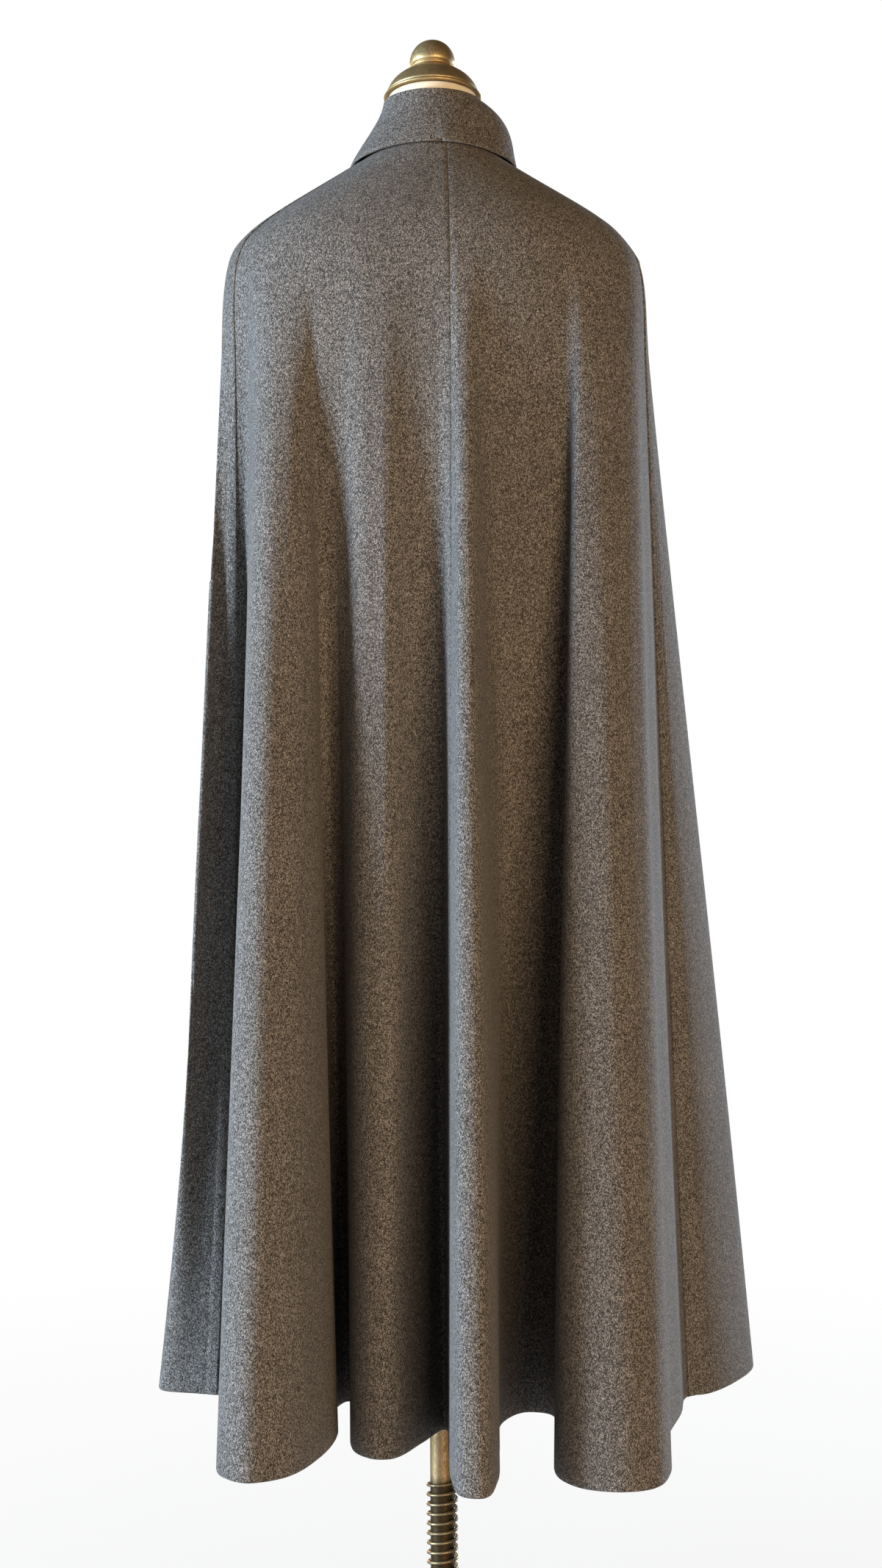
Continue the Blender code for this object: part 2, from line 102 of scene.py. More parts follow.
def new_piece(name: str, surface: Surface, look: Material, slot: str, *nodes: str) -> Object:
    """Makes a smooth-shaded mesh piece, rides it on the root and hides the CAD nodes it stands for.

    Args:
        name: The piece's name.
        surface: Corner points, and faces as arrays of corner numbers, one row a face.
        look: The piece's material.
        slot: Not used.
        nodes: CAD nodes that the piece replaces.

    Returns:
        The new object.
    """
    points, faces = surface
    mesh = bpy.data.meshes.new(name)
    mesh.from_pydata(points.reshape(-1, 3).tolist(), [], [row for block in faces for row in block.tolist()])
    mesh.update()
    mesh.shade_smooth()
    mesh.materials.append(look)
    piece = bpy.data.objects.new(name, mesh)
    bpy.context.scene.collection.objects.link(piece)
    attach(piece, "root")
    if nodes:
        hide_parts(*nodes)
    LOG.info("%s: %d points", name, len(mesh.vertices))
    return piece


def cloth_shell(
    outer: np.ndarray, inner: np.ndarray, sewn: tuple[bool, bool] = (False, False), roundings: int = 3
) -> Surface:
    """Closes two (rows, columns, 3) faces of a cloth into one wall with half-round rims.

    Each rim point is the middle of the wall, plus half the wall turned through an angle, plus as much
    again times the angle's sine away from the cloth: a half circle across the thickness. A sewn side stays
    flat, because its neighbour meets it there.

    Args:
        outer: Triples of the face that shows.
        inner: Triples of the face behind it, in the same order.
        sewn: Whether the first and the last column are sewn to a neighbour.
        roundings: Rim points between the two faces.

    Returns:
        The points, and the faces as arrays of corner numbers.
    """
    rows, columns = outer.shape[:2]
    middle = (outer + inner) / 2
    away = np.zeros_like(middle)
    away[0] += unit(middle[0] - middle[1])
    away[-1] += unit(middle[-1] - middle[-2])
    away[:, 0] += unit(middle[:, 0] - middle[:, 1]) * (not sewn[0])
    away[:, -1] += unit(middle[:, -1] - middle[:, -2]) * (not sewn[1])
    away = unit(away)
    near = np.arange(rows * columns).reshape(rows, columns)
    rim = np.concatenate([near[0, :-1], near[:-1, -1], near[-1, :0:-1], near[:0:-1, 0]])
    half = (outer - inner).reshape(-1, 3)[rim] / 2
    reach = np.linalg.norm(half, axis=-1, keepdims=True) * away.reshape(-1, 3)[rim]
    angles = np.linspace(0, math.pi, roundings + 2)[1:-1][:, None, None]
    rings = middle.reshape(-1, 3)[rim] + half * np.cos(angles) + reach * np.sin(angles)
    start = 2 * rows * columns
    between = start + np.arange(roundings * len(rim)).reshape(roundings, -1)
    loops = np.vstack([rim, between, rim + rows * columns])
    loops = np.hstack([loops, loops[:, :1]])
    faces = [quads_of(near), quads_of(near + rows * columns)[:, ::-1], quads_of(loops)[:, ::-1]]
    return np.concatenate([outer.reshape(-1, 3), inner.reshape(-1, 3), rings.reshape(-1, 3)]), faces


def turned_mesh(profile: np.ndarray, steps: int = 128) -> Surface:
    """A profile turned once round Z: each radius times the turn's cosine and sine, at its height.

    Args:
        profile: (radius, height) rows from top to bottom, with both ends on the axis.
        steps: Triples round the axis.

    Returns:
        The points and the faces, with a fan round each end.
    """
    turn = np.arange(steps) * 2 * math.pi / steps
    radius, height = profile[1:-1, :1], profile[1:-1, 1:]
    heights = np.repeat(height, steps, axis=1)
    points = np.stack([radius * np.cos(turn), radius * np.sin(turn), heights], axis=-1).reshape(-1, 3)
    index = np.arange(len(points)).reshape(len(radius), steps)
    index = np.hstack([index, index[:, :1]])
    ends = np.array([[0, 0, profile[0, 1]], [0, 0, profile[-1, 1]]])
    first, last = index[0], index[-1]
    fan_top = np.stack([first[:-1], first[1:], np.full(steps, len(points))], axis=-1)
    fan_bottom = np.stack([last[1:], last[:-1], np.full(steps, len(points) + 1)], axis=-1)
    return np.vstack([points, ends]), [quads_of(index), fan_top, fan_bottom]


def through(points: np.ndarray, per_span: int) -> np.ndarray:
    """A Catmull-Rom curve: each span is the cubic set by the two points round it and their neighbours.

    Args:
        points: Rows that the curve goes through.
        per_span: Samples from one row to the next.

    Returns:
        The curve's samples, as rows.
    """
    padded = np.vstack([2 * points[0] - points[1], points, 2 * points[-1] - points[-2]])
    t = (np.arange(per_span) / per_span)[:, None]
    p0, p1, p2, p3 = (padded[i : len(padded) - 3 + i, None] for i in range(4))
    square, cube = 2 * p0 - 5 * p1 + 4 * p2 - p3, 3 * p1 - p0 - 3 * p2 + p3
    curve = 0.5 * (2 * p1 + (p2 - p0) * t + square * t**2 + cube * t**3)
    return np.vstack([curve.reshape(-1, points.shape[1]), points[-1:]])


def tube_mesh(path: np.ndarray, radius: np.ndarray, sides: int) -> Surface:
    """A round tube along a path that winds about Z.

    The ring at each point is a circle on the radial direction and the one square to it and to the path.

    Args:
        path: (n, 3) points.
        radius: The tube's radius at each point.
        sides: Triples round the tube.

    Returns:
        The points and the faces, with a fan at each end.
    """
    tangent = unit(np.gradient(path, axis=0))
    radial = unit(path * [1, 1, 0])
    across = unit(np.cross(tangent, radial))
    radial = np.cross(across, tangent)
    angle = (np.arange(sides) * 2 * math.pi / sides)[None, :, None]
    circle = radial[:, None] * np.cos(angle) + across[:, None] * np.sin(angle)
    rings = path[:, None] + radius[:, None, None] * circle
    index = np.arange(len(path) * sides).reshape(len(path), sides)
    index = np.hstack([index, index[:, :1]])
    count = len(path) * sides
    fans = [
        np.stack([index[0, 1:], index[0, :-1], np.full(sides, count)], axis=-1),
        np.stack([index[-1, :-1], index[-1, 1:], np.full(sides, count + 1)], axis=-1),
    ]
    return np.vstack([rings.reshape(-1, 3), path[[0, -1]]]), [quads_of(index), *fans]


def stitches_mesh(
    centres: np.ndarray, forward: np.ndarray, out: np.ndarray, length: float, width: float
) -> Surface:
    """One small spindle of thread for each centre, lying along forward and half sunk in the cloth.

    Each spindle is a ring of six points at five places along it, whose radius follows a half sine.

    Args:
        centres: (n, 3) middles of the stitches.
        forward: Unit vectors along the row.
        out: Unit vectors out of the cloth.
        length: Length of a stitch.
        width: Thickness of the thread.

    Returns:
        The points and the faces.
    """
    places, sides, tip = 5, 6, 0.15
    place = np.linspace(-1, 1, places)
    radius = (width / 2 * np.maximum(np.cos(place * math.pi / 2), tip))[None, :, None, None]
    angle = (np.arange(sides) * 2 * math.pi / sides)[None, None, :, None]
    side = unit(np.cross(forward, out))[:, None, None]
    along = forward[:, None, None] * (place * length / 2)[None, :, None, None]
    ring = side * np.cos(angle) + out[:, None, None] * np.sin(angle)
    points = centres[:, None, None] + along + ring * radius
    index = np.arange(places * sides).reshape(places, sides)
    body = quads_of(np.hstack([index, index[:, :1]]))
    shift = (np.arange(len(centres)) * places * sides)[:, None, None]
    ends = np.stack([index[0, ::-1], index[-1]])
    faces = [(body + shift).reshape(-1, 4)[:, ::-1], (ends + shift).reshape(-1, sides)[:, ::-1]]
    return points.reshape(-1, 3), faces


# ---------------------------------------------------------------- finishes


def node_group(name: str, inputs: dict[str, tuple[str, object]], outputs: dict[str, str]) -> NodeTree:
    """An empty shader group with its sockets.

    Args:
        name: The group's name.
        inputs: Socket name to (socket type, default value).
        outputs: Socket name to socket type.

    Returns:
        The group, with its input and output nodes in place.
    """
    group = bpy.data.node_groups.new(name, "ShaderNodeTree")
    for label, (kind, value) in inputs.items():
        group.interface.new_socket(label, in_out="INPUT", socket_type=kind).default_value = value
    for label, kind in outputs.items():
        group.interface.new_socket(label, in_out="OUTPUT", socket_type=kind)
    group.nodes.new("NodeGroupInput").name = "in"
    group.nodes.new("NodeGroupOutput").name = "out"
    return group


def add(tree: NodeTree, kind: str, inputs: dict | None = None, **settings: object) -> Node:
    """Adds a node, sets its properties, and fills its inputs.

    Args:
        tree: The material's or the group's tree.
        kind: The node's type.
        inputs: Input name or number to a value, or to another node's socket that feeds it.
        settings: Properties of the node.

    Returns:
        The node.
    """
    node = tree.nodes.new(kind)
    for key, value in settings.items():
        setattr(node, key, value)
    for key, value in (inputs or {}).items():
        if isinstance(value, NodeSocket):
            tree.links.new(value, node.inputs[key])
        else:
            node.inputs[key].default_value = value
    return node


def stretch(tree: NodeTree, vector: NodeSocket, scale: Triple) -> NodeSocket:
    """A coordinate with each axis scaled."""
    return add(tree, "ShaderNodeMapping", {"Vector": vector, "Scale": scale}).outputs["Vector"]


def remap(tree: NodeTree, value: NodeSocket, low: float, high: float, to: Pair) -> NodeSocket:
    """A value carried from one range to another, held at its ends."""
    inputs = {"Value": value, "From Min": low, "From Max": high, "To Min": to[0], "To Max": to[1]}
    return add(tree, "ShaderNodeMapRange", inputs).outputs["Result"]


def mixed(tree: NodeTree, share: object, first: object, second: object, kind: str = "RGBA") -> NodeSocket:
    """Two colours, or two numbers, mixed by a share of the second."""
    inputs = {"Factor": share, "A": first, "B": second}
    return add(tree, "ShaderNodeMix", inputs, data_type=kind).outputs["Result"]


def maths(tree: NodeTree, operation: str, *values: object) -> NodeSocket:
    """Values put together by an operation."""
    return add(tree, "ShaderNodeMath", dict(enumerate(values)), operation=operation).outputs[0]


def heather_group() -> NodeTree:
    """Heather of fulled wool: flecks of dyed fibre in two sizes, single pale hairs, and the nap's height.

    Each fleck is a cell with a random share of the light colour. The power keeps most flecks dark.

    Returns:
        The shader group.
    """
    colour, number = "NodeSocketColor", "NodeSocketFloat"
    grey = (0.5, 0.5, 0.5, 1)
    group = node_group(
        "heather",
        {
            "Coordinate": ("NodeSocketVector", (0, 0, 0)),
            "Dark": (colour, grey),
            "Middle": (colour, grey),
            "Light": (colour, grey),
            "Fleck Scale": (number, 800.0),
        },
        {"Color": colour, "Height": number},
    )
    source, result = group.nodes["in"].outputs, group.nodes["out"].inputs
    scale = source["Fleck Scale"]
    long_fleck = stretch(group, source["Coordinate"], (1.0, 1.0, 0.6))
    small_fleck = stretch(group, long_fleck, (2.1, 2.1, 1.5))
    fibre = {"Vector": long_fleck, "Scale": scale}
    large = add(group, "ShaderNodeTexVoronoi", fibre)
    small = add(group, "ShaderNodeTexVoronoi", {"Vector": small_fleck, "Scale": scale})
    nap = add(group, "ShaderNodeTexNoise", fibre | {"Detail": 1.0}).outputs["Fac"]
    large_lot = add(group, "ShaderNodeSeparateColor", {"Color": large.outputs["Color"]}).outputs
    small_lot = add(group, "ShaderNodeSeparateColor", {"Color": small.outputs["Color"]}).outputs
    lot = mixed(group, 0.4, large_lot["Red"], small_lot["Red"], "FLOAT")
    flecks = mixed(group, maths(group, "POWER", lot, 2.6), source["Dark"], source["Light"])
    ground = mixed(group, remap(group, nap, 0.40, 0.70, (0.0, 0.25)), flecks, source["Middle"])
    core = remap(group, large.outputs["Distance"], 0.45, 0.25, (0.0, 0.75))
    seldom = remap(group, large_lot["Green"], 0.90, 0.94, (0.0, 1.0))
    hair = maths(group, "MULTIPLY", core, seldom)
    pale = mixed(group, 0.45, source["Light"], (0.62, 0.60, 0.56, 1))
    broad = add(group, "ShaderNodeTexNoise", {"Vector": source["Coordinate"], "Scale": 9.0, "Detail": 2.0})
    cloudy = remap(group, broad.outputs["Fac"], 0.3, 0.7, (0.95, 1.05))
    shaded = {0: mixed(group, hair, ground, pale), "Scale": cloudy}
    cloth = add(group, "ShaderNodeVectorMath", shaded, operation="SCALE").outputs["Vector"]
    group.links.new(cloth, result["Color"])
    group.links.new(maths(group, "ADD", nap, hair), result["Height"])
    return group


def patina_group() -> NodeTree:
    """Handled metal: cloudy tarnish and fine scratches along Z, with its roughness and the scratches' height.

    Returns:
        The shader group.
    """
    colour, number = "NodeSocketColor", "NodeSocketFloat"
    group = node_group(
        "patina",
        {
            "Coordinate": ("NodeSocketVector", (0, 0, 0)),
            "Metal": (colour, (0.5, 0.5, 0.5, 1)),
            "Tarnish": (colour, (0.1, 0.1, 0.1, 1)),
            "Amount": (number, 0.5),
            "Scale": (number, 90.0),
        },
        {"Color": colour, "Roughness": number, "Height": number},
    )
    source, result = group.nodes["in"].outputs, group.nodes["out"].inputs
    at = source["Coordinate"]
    cloud = add(group, "ShaderNodeTexNoise", {"Vector": at, "Scale": source["Scale"], "Detail": 6.0})
    fine = {"Vector": stretch(group, at, (1.0, 1.0, 0.2)), "Scale": 1600.0, "Detail": 2.0}
    scratches = add(group, "ShaderNodeTexNoise", fine).outputs["Fac"]
    both = maths(group, "MULTIPLY_ADD", cloud.outputs["Fac"], 0.35, scratches)
    mask = remap(group, both, 0.52, 0.80, (0.0, 1.0))
    share = maths(group, "MULTIPLY", mask, source["Amount"])
    group.links.new(mixed(group, share, source["Metal"], source["Tarnish"]), result["Color"])
    group.links.new(remap(group, mask, 0.0, 1.0, (0.40, 0.68)), result["Roughness"])
    group.links.new(scratches, result["Height"])
    return group


def knit_group() -> NodeTree:
    """Fine jersey: ribs of small loops round the body, slightly uneven, with a soft mottling.

    Returns:
        The shader group.
    """
    colour, number = "NodeSocketColor", "NodeSocketFloat"
    group = node_group(
        "knit",
        {
            "Coordinate": ("NodeSocketVector", (0, 0, 0)),
            "Yarn": (colour, (0.8, 0.7, 0.5, 1)),
            "Shadow": (colour, (0.5, 0.4, 0.3, 1)),
            "Pitch": (number, 900.0),
        },
        {"Color": colour, "Height": number},
    )
    source, result = group.nodes["in"].outputs, group.nodes["out"].inputs
    at = source["Coordinate"]
    cells = {"Vector": at, "Scale": source["Pitch"], "Randomness": 0.25}
    loops = add(group, "ShaderNodeTexVoronoi", cells).outputs["Distance"]
    mottle = add(group, "ShaderNodeTexNoise", {"Vector": at, "Scale": 35.0, "Detail": 3.0}).outputs["Fac"]
    shade = maths(group, "MULTIPLY", remap(group, loops, 0.15, 0.75, (0.0, 0.35)), mottle)
    group.links.new(mixed(group, shade, source["Yarn"], source["Shadow"]), result["Color"])
    group.links.new(remap(group, loops, 0.0, 0.8, (1.0, 0.0)), result["Height"])
    return group


def with_alpha(colour: Rgb) -> tuple[float, float, float, float]:
    """A colour as a socket takes it."""
    return (*colour, 1.0)


def shader_of(name: str) -> tuple[Material, NodeTree, Node, NodeSocket]:
    """A new material.

    Args:
        name: The material's name.

    Returns:
        The material, its tree, its Principled shader and its object coordinates.
    """
    material = bpy.data.materials.new(name)
    material.use_nodes = True
    tree = material.node_tree
    coordinate = add(tree, "ShaderNodeTexCoord").outputs["Object"]
    return material, tree, tree.nodes["Principled BSDF"], coordinate


def place_group(tree: NodeTree, group: NodeTree, inputs: dict) -> Node:
    """Places a shader group in a material with its own values."""
    return add(tree, "ShaderNodeGroup", inputs, node_tree=group)


def bump_into(tree: NodeTree, shader: Node, height: NodeSocket, strength: float, depth: float) -> None:
    """Feeds a height into the shader's normal."""
    bump = add(tree, "ShaderNodeBump", {"Height": height, "Strength": strength, "Distance": depth})
    tree.links.new(bump.outputs["Normal"], shader.inputs["Normal"])


@dataclass(frozen=True)
class MeltonWool:
    """Heavy fulled wool in a heathered grey-brown."""

    name: str = "melton_wool"
    dark: Rgb = (0.014, 0.011, 0.009)
    middle: Rgb = (0.120, 0.106, 0.094)
    light: Rgb = (0.560, 0.512, 0.467)
    fleck_scale: float = 1450.0
    roughness: float = 0.95
    sheen: float = 0.08
    nap: float = 0.45
    nap_depth: float = 0.0008

    def material(self, heather: NodeTree) -> Material:
        """Builds the wool's material.

        Args:
            heather: The heather group.

        Returns:
            The material.
        """
        made, tree, shader, coordinate = shader_of(self.name)
        values = {
            "Coordinate": coordinate,
            "Dark": with_alpha(self.dark),
            "Middle": with_alpha(self.middle),
            "Light": with_alpha(self.light),
            "Fleck Scale": self.fleck_scale,
        }
        fibres = place_group(tree, heather, values)
        tree.links.new(fibres.outputs["Color"], shader.inputs["Base Color"])
        shader.inputs["Roughness"].default_value = self.roughness
        shader.inputs["Specular IOR Level"].default_value = 0.2
        shader.inputs["Sheen Weight"].default_value = self.sheen
        shader.inputs["Sheen Roughness"].default_value = 0.45
        shader.inputs["Sheen Tint"].default_value = (0.80, 0.80, 0.82, 1)
        bump_into(tree, shader, fibres.outputs["Height"], self.nap, self.nap_depth)
        return made


@dataclass(frozen=True)
class AgedMetal:
    """A satin metal with tarnish in it. Below a given height, if there is one, it is darkened almost to
    black: painted shade and dirt where the spring's coils wrap the pole.
    """

    name: str
    metal: Rgb
    tarnish: Rgb
    amount: float
    scale: float
    grain: float = 0.08
    # Height, fade and colour of the painted shade and dirt where the spring wraps the pole.
    shade_and_grime_top: float | None = None
    shade_and_grime_fade: float = 0.012
    shade_and_grime_colour: Rgb = (0.030, 0.020, 0.012)

    def material(self, patina: NodeTree) -> Material:
        """Builds the metal's material.

        Args:
            patina: The patina group.

        Returns:
            The material.
        """
        made, tree, shader, coordinate = shader_of(self.name)
        values = {
            "Coordinate": coordinate,
            "Metal": with_alpha(self.metal),
            "Tarnish": with_alpha(self.tarnish),
            "Amount": self.amount,
            "Scale": self.scale,
        }
        surface = place_group(tree, patina, values)
        colour = surface.outputs["Color"]
        # Painted shade and dirt: the colour goes almost black below the given height, where the spring wraps
        # the pole.
        if self.shade_and_grime_top is not None:
            height = add(tree, "ShaderNodeSeparateXYZ", {"Vector": coordinate}).outputs["Z"]
            share = remap(tree, height, self.shade_and_grime_top, self.shade_and_grime_top - self.shade_and_grime_fade, (0.0, 0.9))
            colour = mixed(tree, share, colour, with_alpha(self.shade_and_grime_colour))
        tree.links.new(colour, shader.inputs["Base Color"])
        tree.links.new(surface.outputs["Roughness"], shader.inputs["Roughness"])
        shader.inputs["Metallic"].default_value = 1.0
        bump_into(tree, shader, surface.outputs["Height"], self.grain, 0.0003)
        return made


@dataclass(frozen=True)
class JerseyCover:
    """Cream cotton jersey drawn smooth over the form."""

    name: str = "jersey_cover"
    yarn: Rgb = (0.86, 0.76, 0.58)
    shadow: Rgb = (0.55, 0.44, 0.29)
    pitch: float = 1000.0

    def material(self, knit: NodeTree) -> Material:
        """Builds the cover's material.

        Args:
            knit: The knit group.

        Returns:
            The material.
        """
        made, tree, shader, coordinate = shader_of(self.name)
        values = {
            "Coordinate": coordinate,
            "Yarn": with_alpha(self.yarn),
            "Shadow": with_alpha(self.shadow),
            "Pitch": self.pitch,
        }
        loops = place_group(tree, knit, values)
        tree.links.new(loops.outputs["Color"], shader.inputs["Base Color"])
        shader.inputs["Roughness"].default_value = 0.8
        shader.inputs["Sheen Weight"].default_value = 0.1
        bump_into(tree, shader, loops.outputs["Height"], 0.3, 0.0003)
        return made


# ---------------------------------------------------------------- cape


@dataclass(frozen=True)
class Fold:
    """One drape line.

    turn is in degrees round the shoulder, from the centre back towards +X. hem_x and hem_y say where the line
    meets the hem, and haste how much sooner than a straight line its fold opens.
    """

    turn: float
    hem_x: float
    hem_y: float
    haste: float = 0.0
    name: str = ""


@dataclass(frozen=True)
class Crease:
    """A soft ridge, or a trough with a depth below 0: its middle, half-sizes and slant on (u, v)."""

    u: float
    v: float
    half_u: float
    half_v: float
    depth: float
    slant: float = 0.0


CENTRE_BACK, RIGHT_SIDE, LEFT_SIDE = "centre back seam", "right side seam", "left side seam"
LAP_RIGHT, LAP_LEFT = "right edge of the lap", "left edge of the lap"

FOLDS = (
    Fold(2.5, 0.0065, -0.220, 0.0, CENTRE_BACK),
    # narrow tube beside the centre back seam
    Fold(3.4, 0.009, -0.305, 0.3),
    Fold(4.3, 0.018, -0.350, 0.4),
    Fold(5.5, 0.038, -0.354, 0.4),
    Fold(7.0, 0.050, -0.305, 0.4),
    Fold(9.8, 0.054, -0.200, -0.1),
    # deep recess
    Fold(16.0, 0.060, -0.090, -0.7),
    Fold(23.0, 0.083, -0.050, -0.8),
    Fold(29.5, 0.106, -0.058, -0.7),
    Fold(34.5, 0.107, -0.180, -0.2),
    # broad fold of the right back
    Fold(38.8, 0.104, -0.290, 0.3),
    Fold(43.0, 0.125, -0.326, 0.2),
    Fold(51.0, 0.160, -0.337, 0.15),
    Fold(60.0, 0.190, -0.325, 0.15),
    Fold(67.7, 0.206, -0.280, 0.2),
    Fold(73.0, 0.214, -0.158, 0.2),
    Fold(77.0, 0.236, -0.060, 0.3),
    Fold(81.0, 0.250, 0.012, 0.4, RIGHT_SIDE),
    # right side panel
    Fold(85.0, 0.272, 0.025),
    Fold(90.0, 0.305, 0.075, 0.3),
    Fold(96.0, 0.332, 0.150, 0.2),
    Fold(103.0, 0.318, 0.215, 0.1),
    # right front
    Fold(112.0, 0.262, 0.165),
    Fold(118.0, 0.242, 0.250, 0.3),
    Fold(124.0, 0.218, 0.312, 0.4),
    Fold(131.0, 0.185, 0.316, 0.3),
    Fold(137.0, 0.162, 0.250),
    Fold(144.0, 0.148, 0.150),
    Fold(150.0, 0.133, 0.245, 0.3),
    Fold(156.0, 0.110, 0.312, 0.4),
    Fold(162.0, 0.080, 0.312, 0.3),
    Fold(169.0, 0.048, 0.284),
    # flat centre front, where the right front laps over the left
    Fold(176.5, 0.0215, 0.278, 0.0, LAP_RIGHT),
    Fold(183.5, -0.0215, 0.278, 0.0, LAP_LEFT),
    Fold(191.0, -0.048, 0.284),
    # left front
    Fold(198.0, -0.082, 0.310, 0.3),
    Fold(204.0, -0.112, 0.316, 0.4),
    Fold(210.0, -0.138, 0.250),
    Fold(216.0, -0.152, 0.155),
    Fold(222.0, -0.164, 0.250, 0.3),
    Fold(229.0, -0.188, 0.314, 0.4),
    Fold(236.0, -0.222, 0.306, 0.3),
    Fold(242.0, -0.243, 0.240),
    Fold(249.0, -0.243, 0.155),
    Fold(257.0, -0.270, 0.130, -1.2),
    Fold(264.0, -0.289, 0.100, -2.2),
    # left side panel
    Fold(270.0, -0.288, 0.055, -2.4),
    Fold(281.0, -0.250, 0.040, 0.8),
    Fold(292.0, -0.230, 0.034, 1.4, LEFT_SIDE),
    # recess beside the left back fold
    Fold(300.0, -0.222, 0.028, 2.0),
    Fold(306.0, -0.212, -0.100, 1.2),
    Fold(309.0, -0.207, -0.200, 0.6),
    # outer fold of the left back
    Fold(312.2, -0.200, -0.275, 0.4),
    Fold(317.5, -0.175, -0.300, 0.3),
    Fold(322.5, -0.140, -0.283, 0.3),
    Fold(327.1, -0.112, -0.215, 0.2),
    Fold(330.5, -0.099, -0.130, -0.2),
    # closed pocket between the two folds of the left back
    Fold(333.0, -0.108, -0.050, -0.6),
    Fold(335.0, -0.094, 0.000, -0.7),
    Fold(337.0, -0.078, -0.050, -0.6),
    Fold(339.5, -0.087, -0.130, -0.3),
    # inner fold of the left back
    Fold(342.2, -0.080, -0.200, 0.4),
    Fold(347.5, -0.062, -0.222, 0.4),
    Fold(351.0, -0.044, -0.220, 0.4),
    Fold(355.5, -0.018, -0.165, 0.1),
    Fold(359.7, 0.003, -0.115, -0.1),
)


def around(turn: np.ndarray, back_side_front: Triple) -> np.ndarray:
    """A value given at the back, the sides and the front, that goes between them as the squared cosine.

    Args:
        turn: Degrees from the centre back.
        back_side_front: The three values.

    Returns:
        The value at each turn.
    """
    back, side, front = back_side_front
    facing = np.cos(np.radians(turn))
    return side + np.where(facing > 0, back - side, front - side) * facing**2


def oval(turn: np.ndarray, half: Pair, power: float, centre_y: float) -> np.ndarray:
    """Points of a superellipse: a half-size times the sine's or the cosine's size to the power 2 / power.

    Args:
        turn: Degrees from the back, towards +X.
        half: Half-width and half-depth.
        power: 2 for an ellipse, more for a squarer oval.
        centre_y: Where the middle lies on Y.

    Returns:
        x and y, stacked.
    """
    sine, cosine = np.sin(np.radians(turn)), np.cos(np.radians(turn))
    x = half[0] * np.sign(sine) * np.abs(sine) ** (2 / power)
    y = centre_y - half[1] * np.sign(cosine) * np.abs(cosine) ** (2 / power)
    return np.stack([x, y])


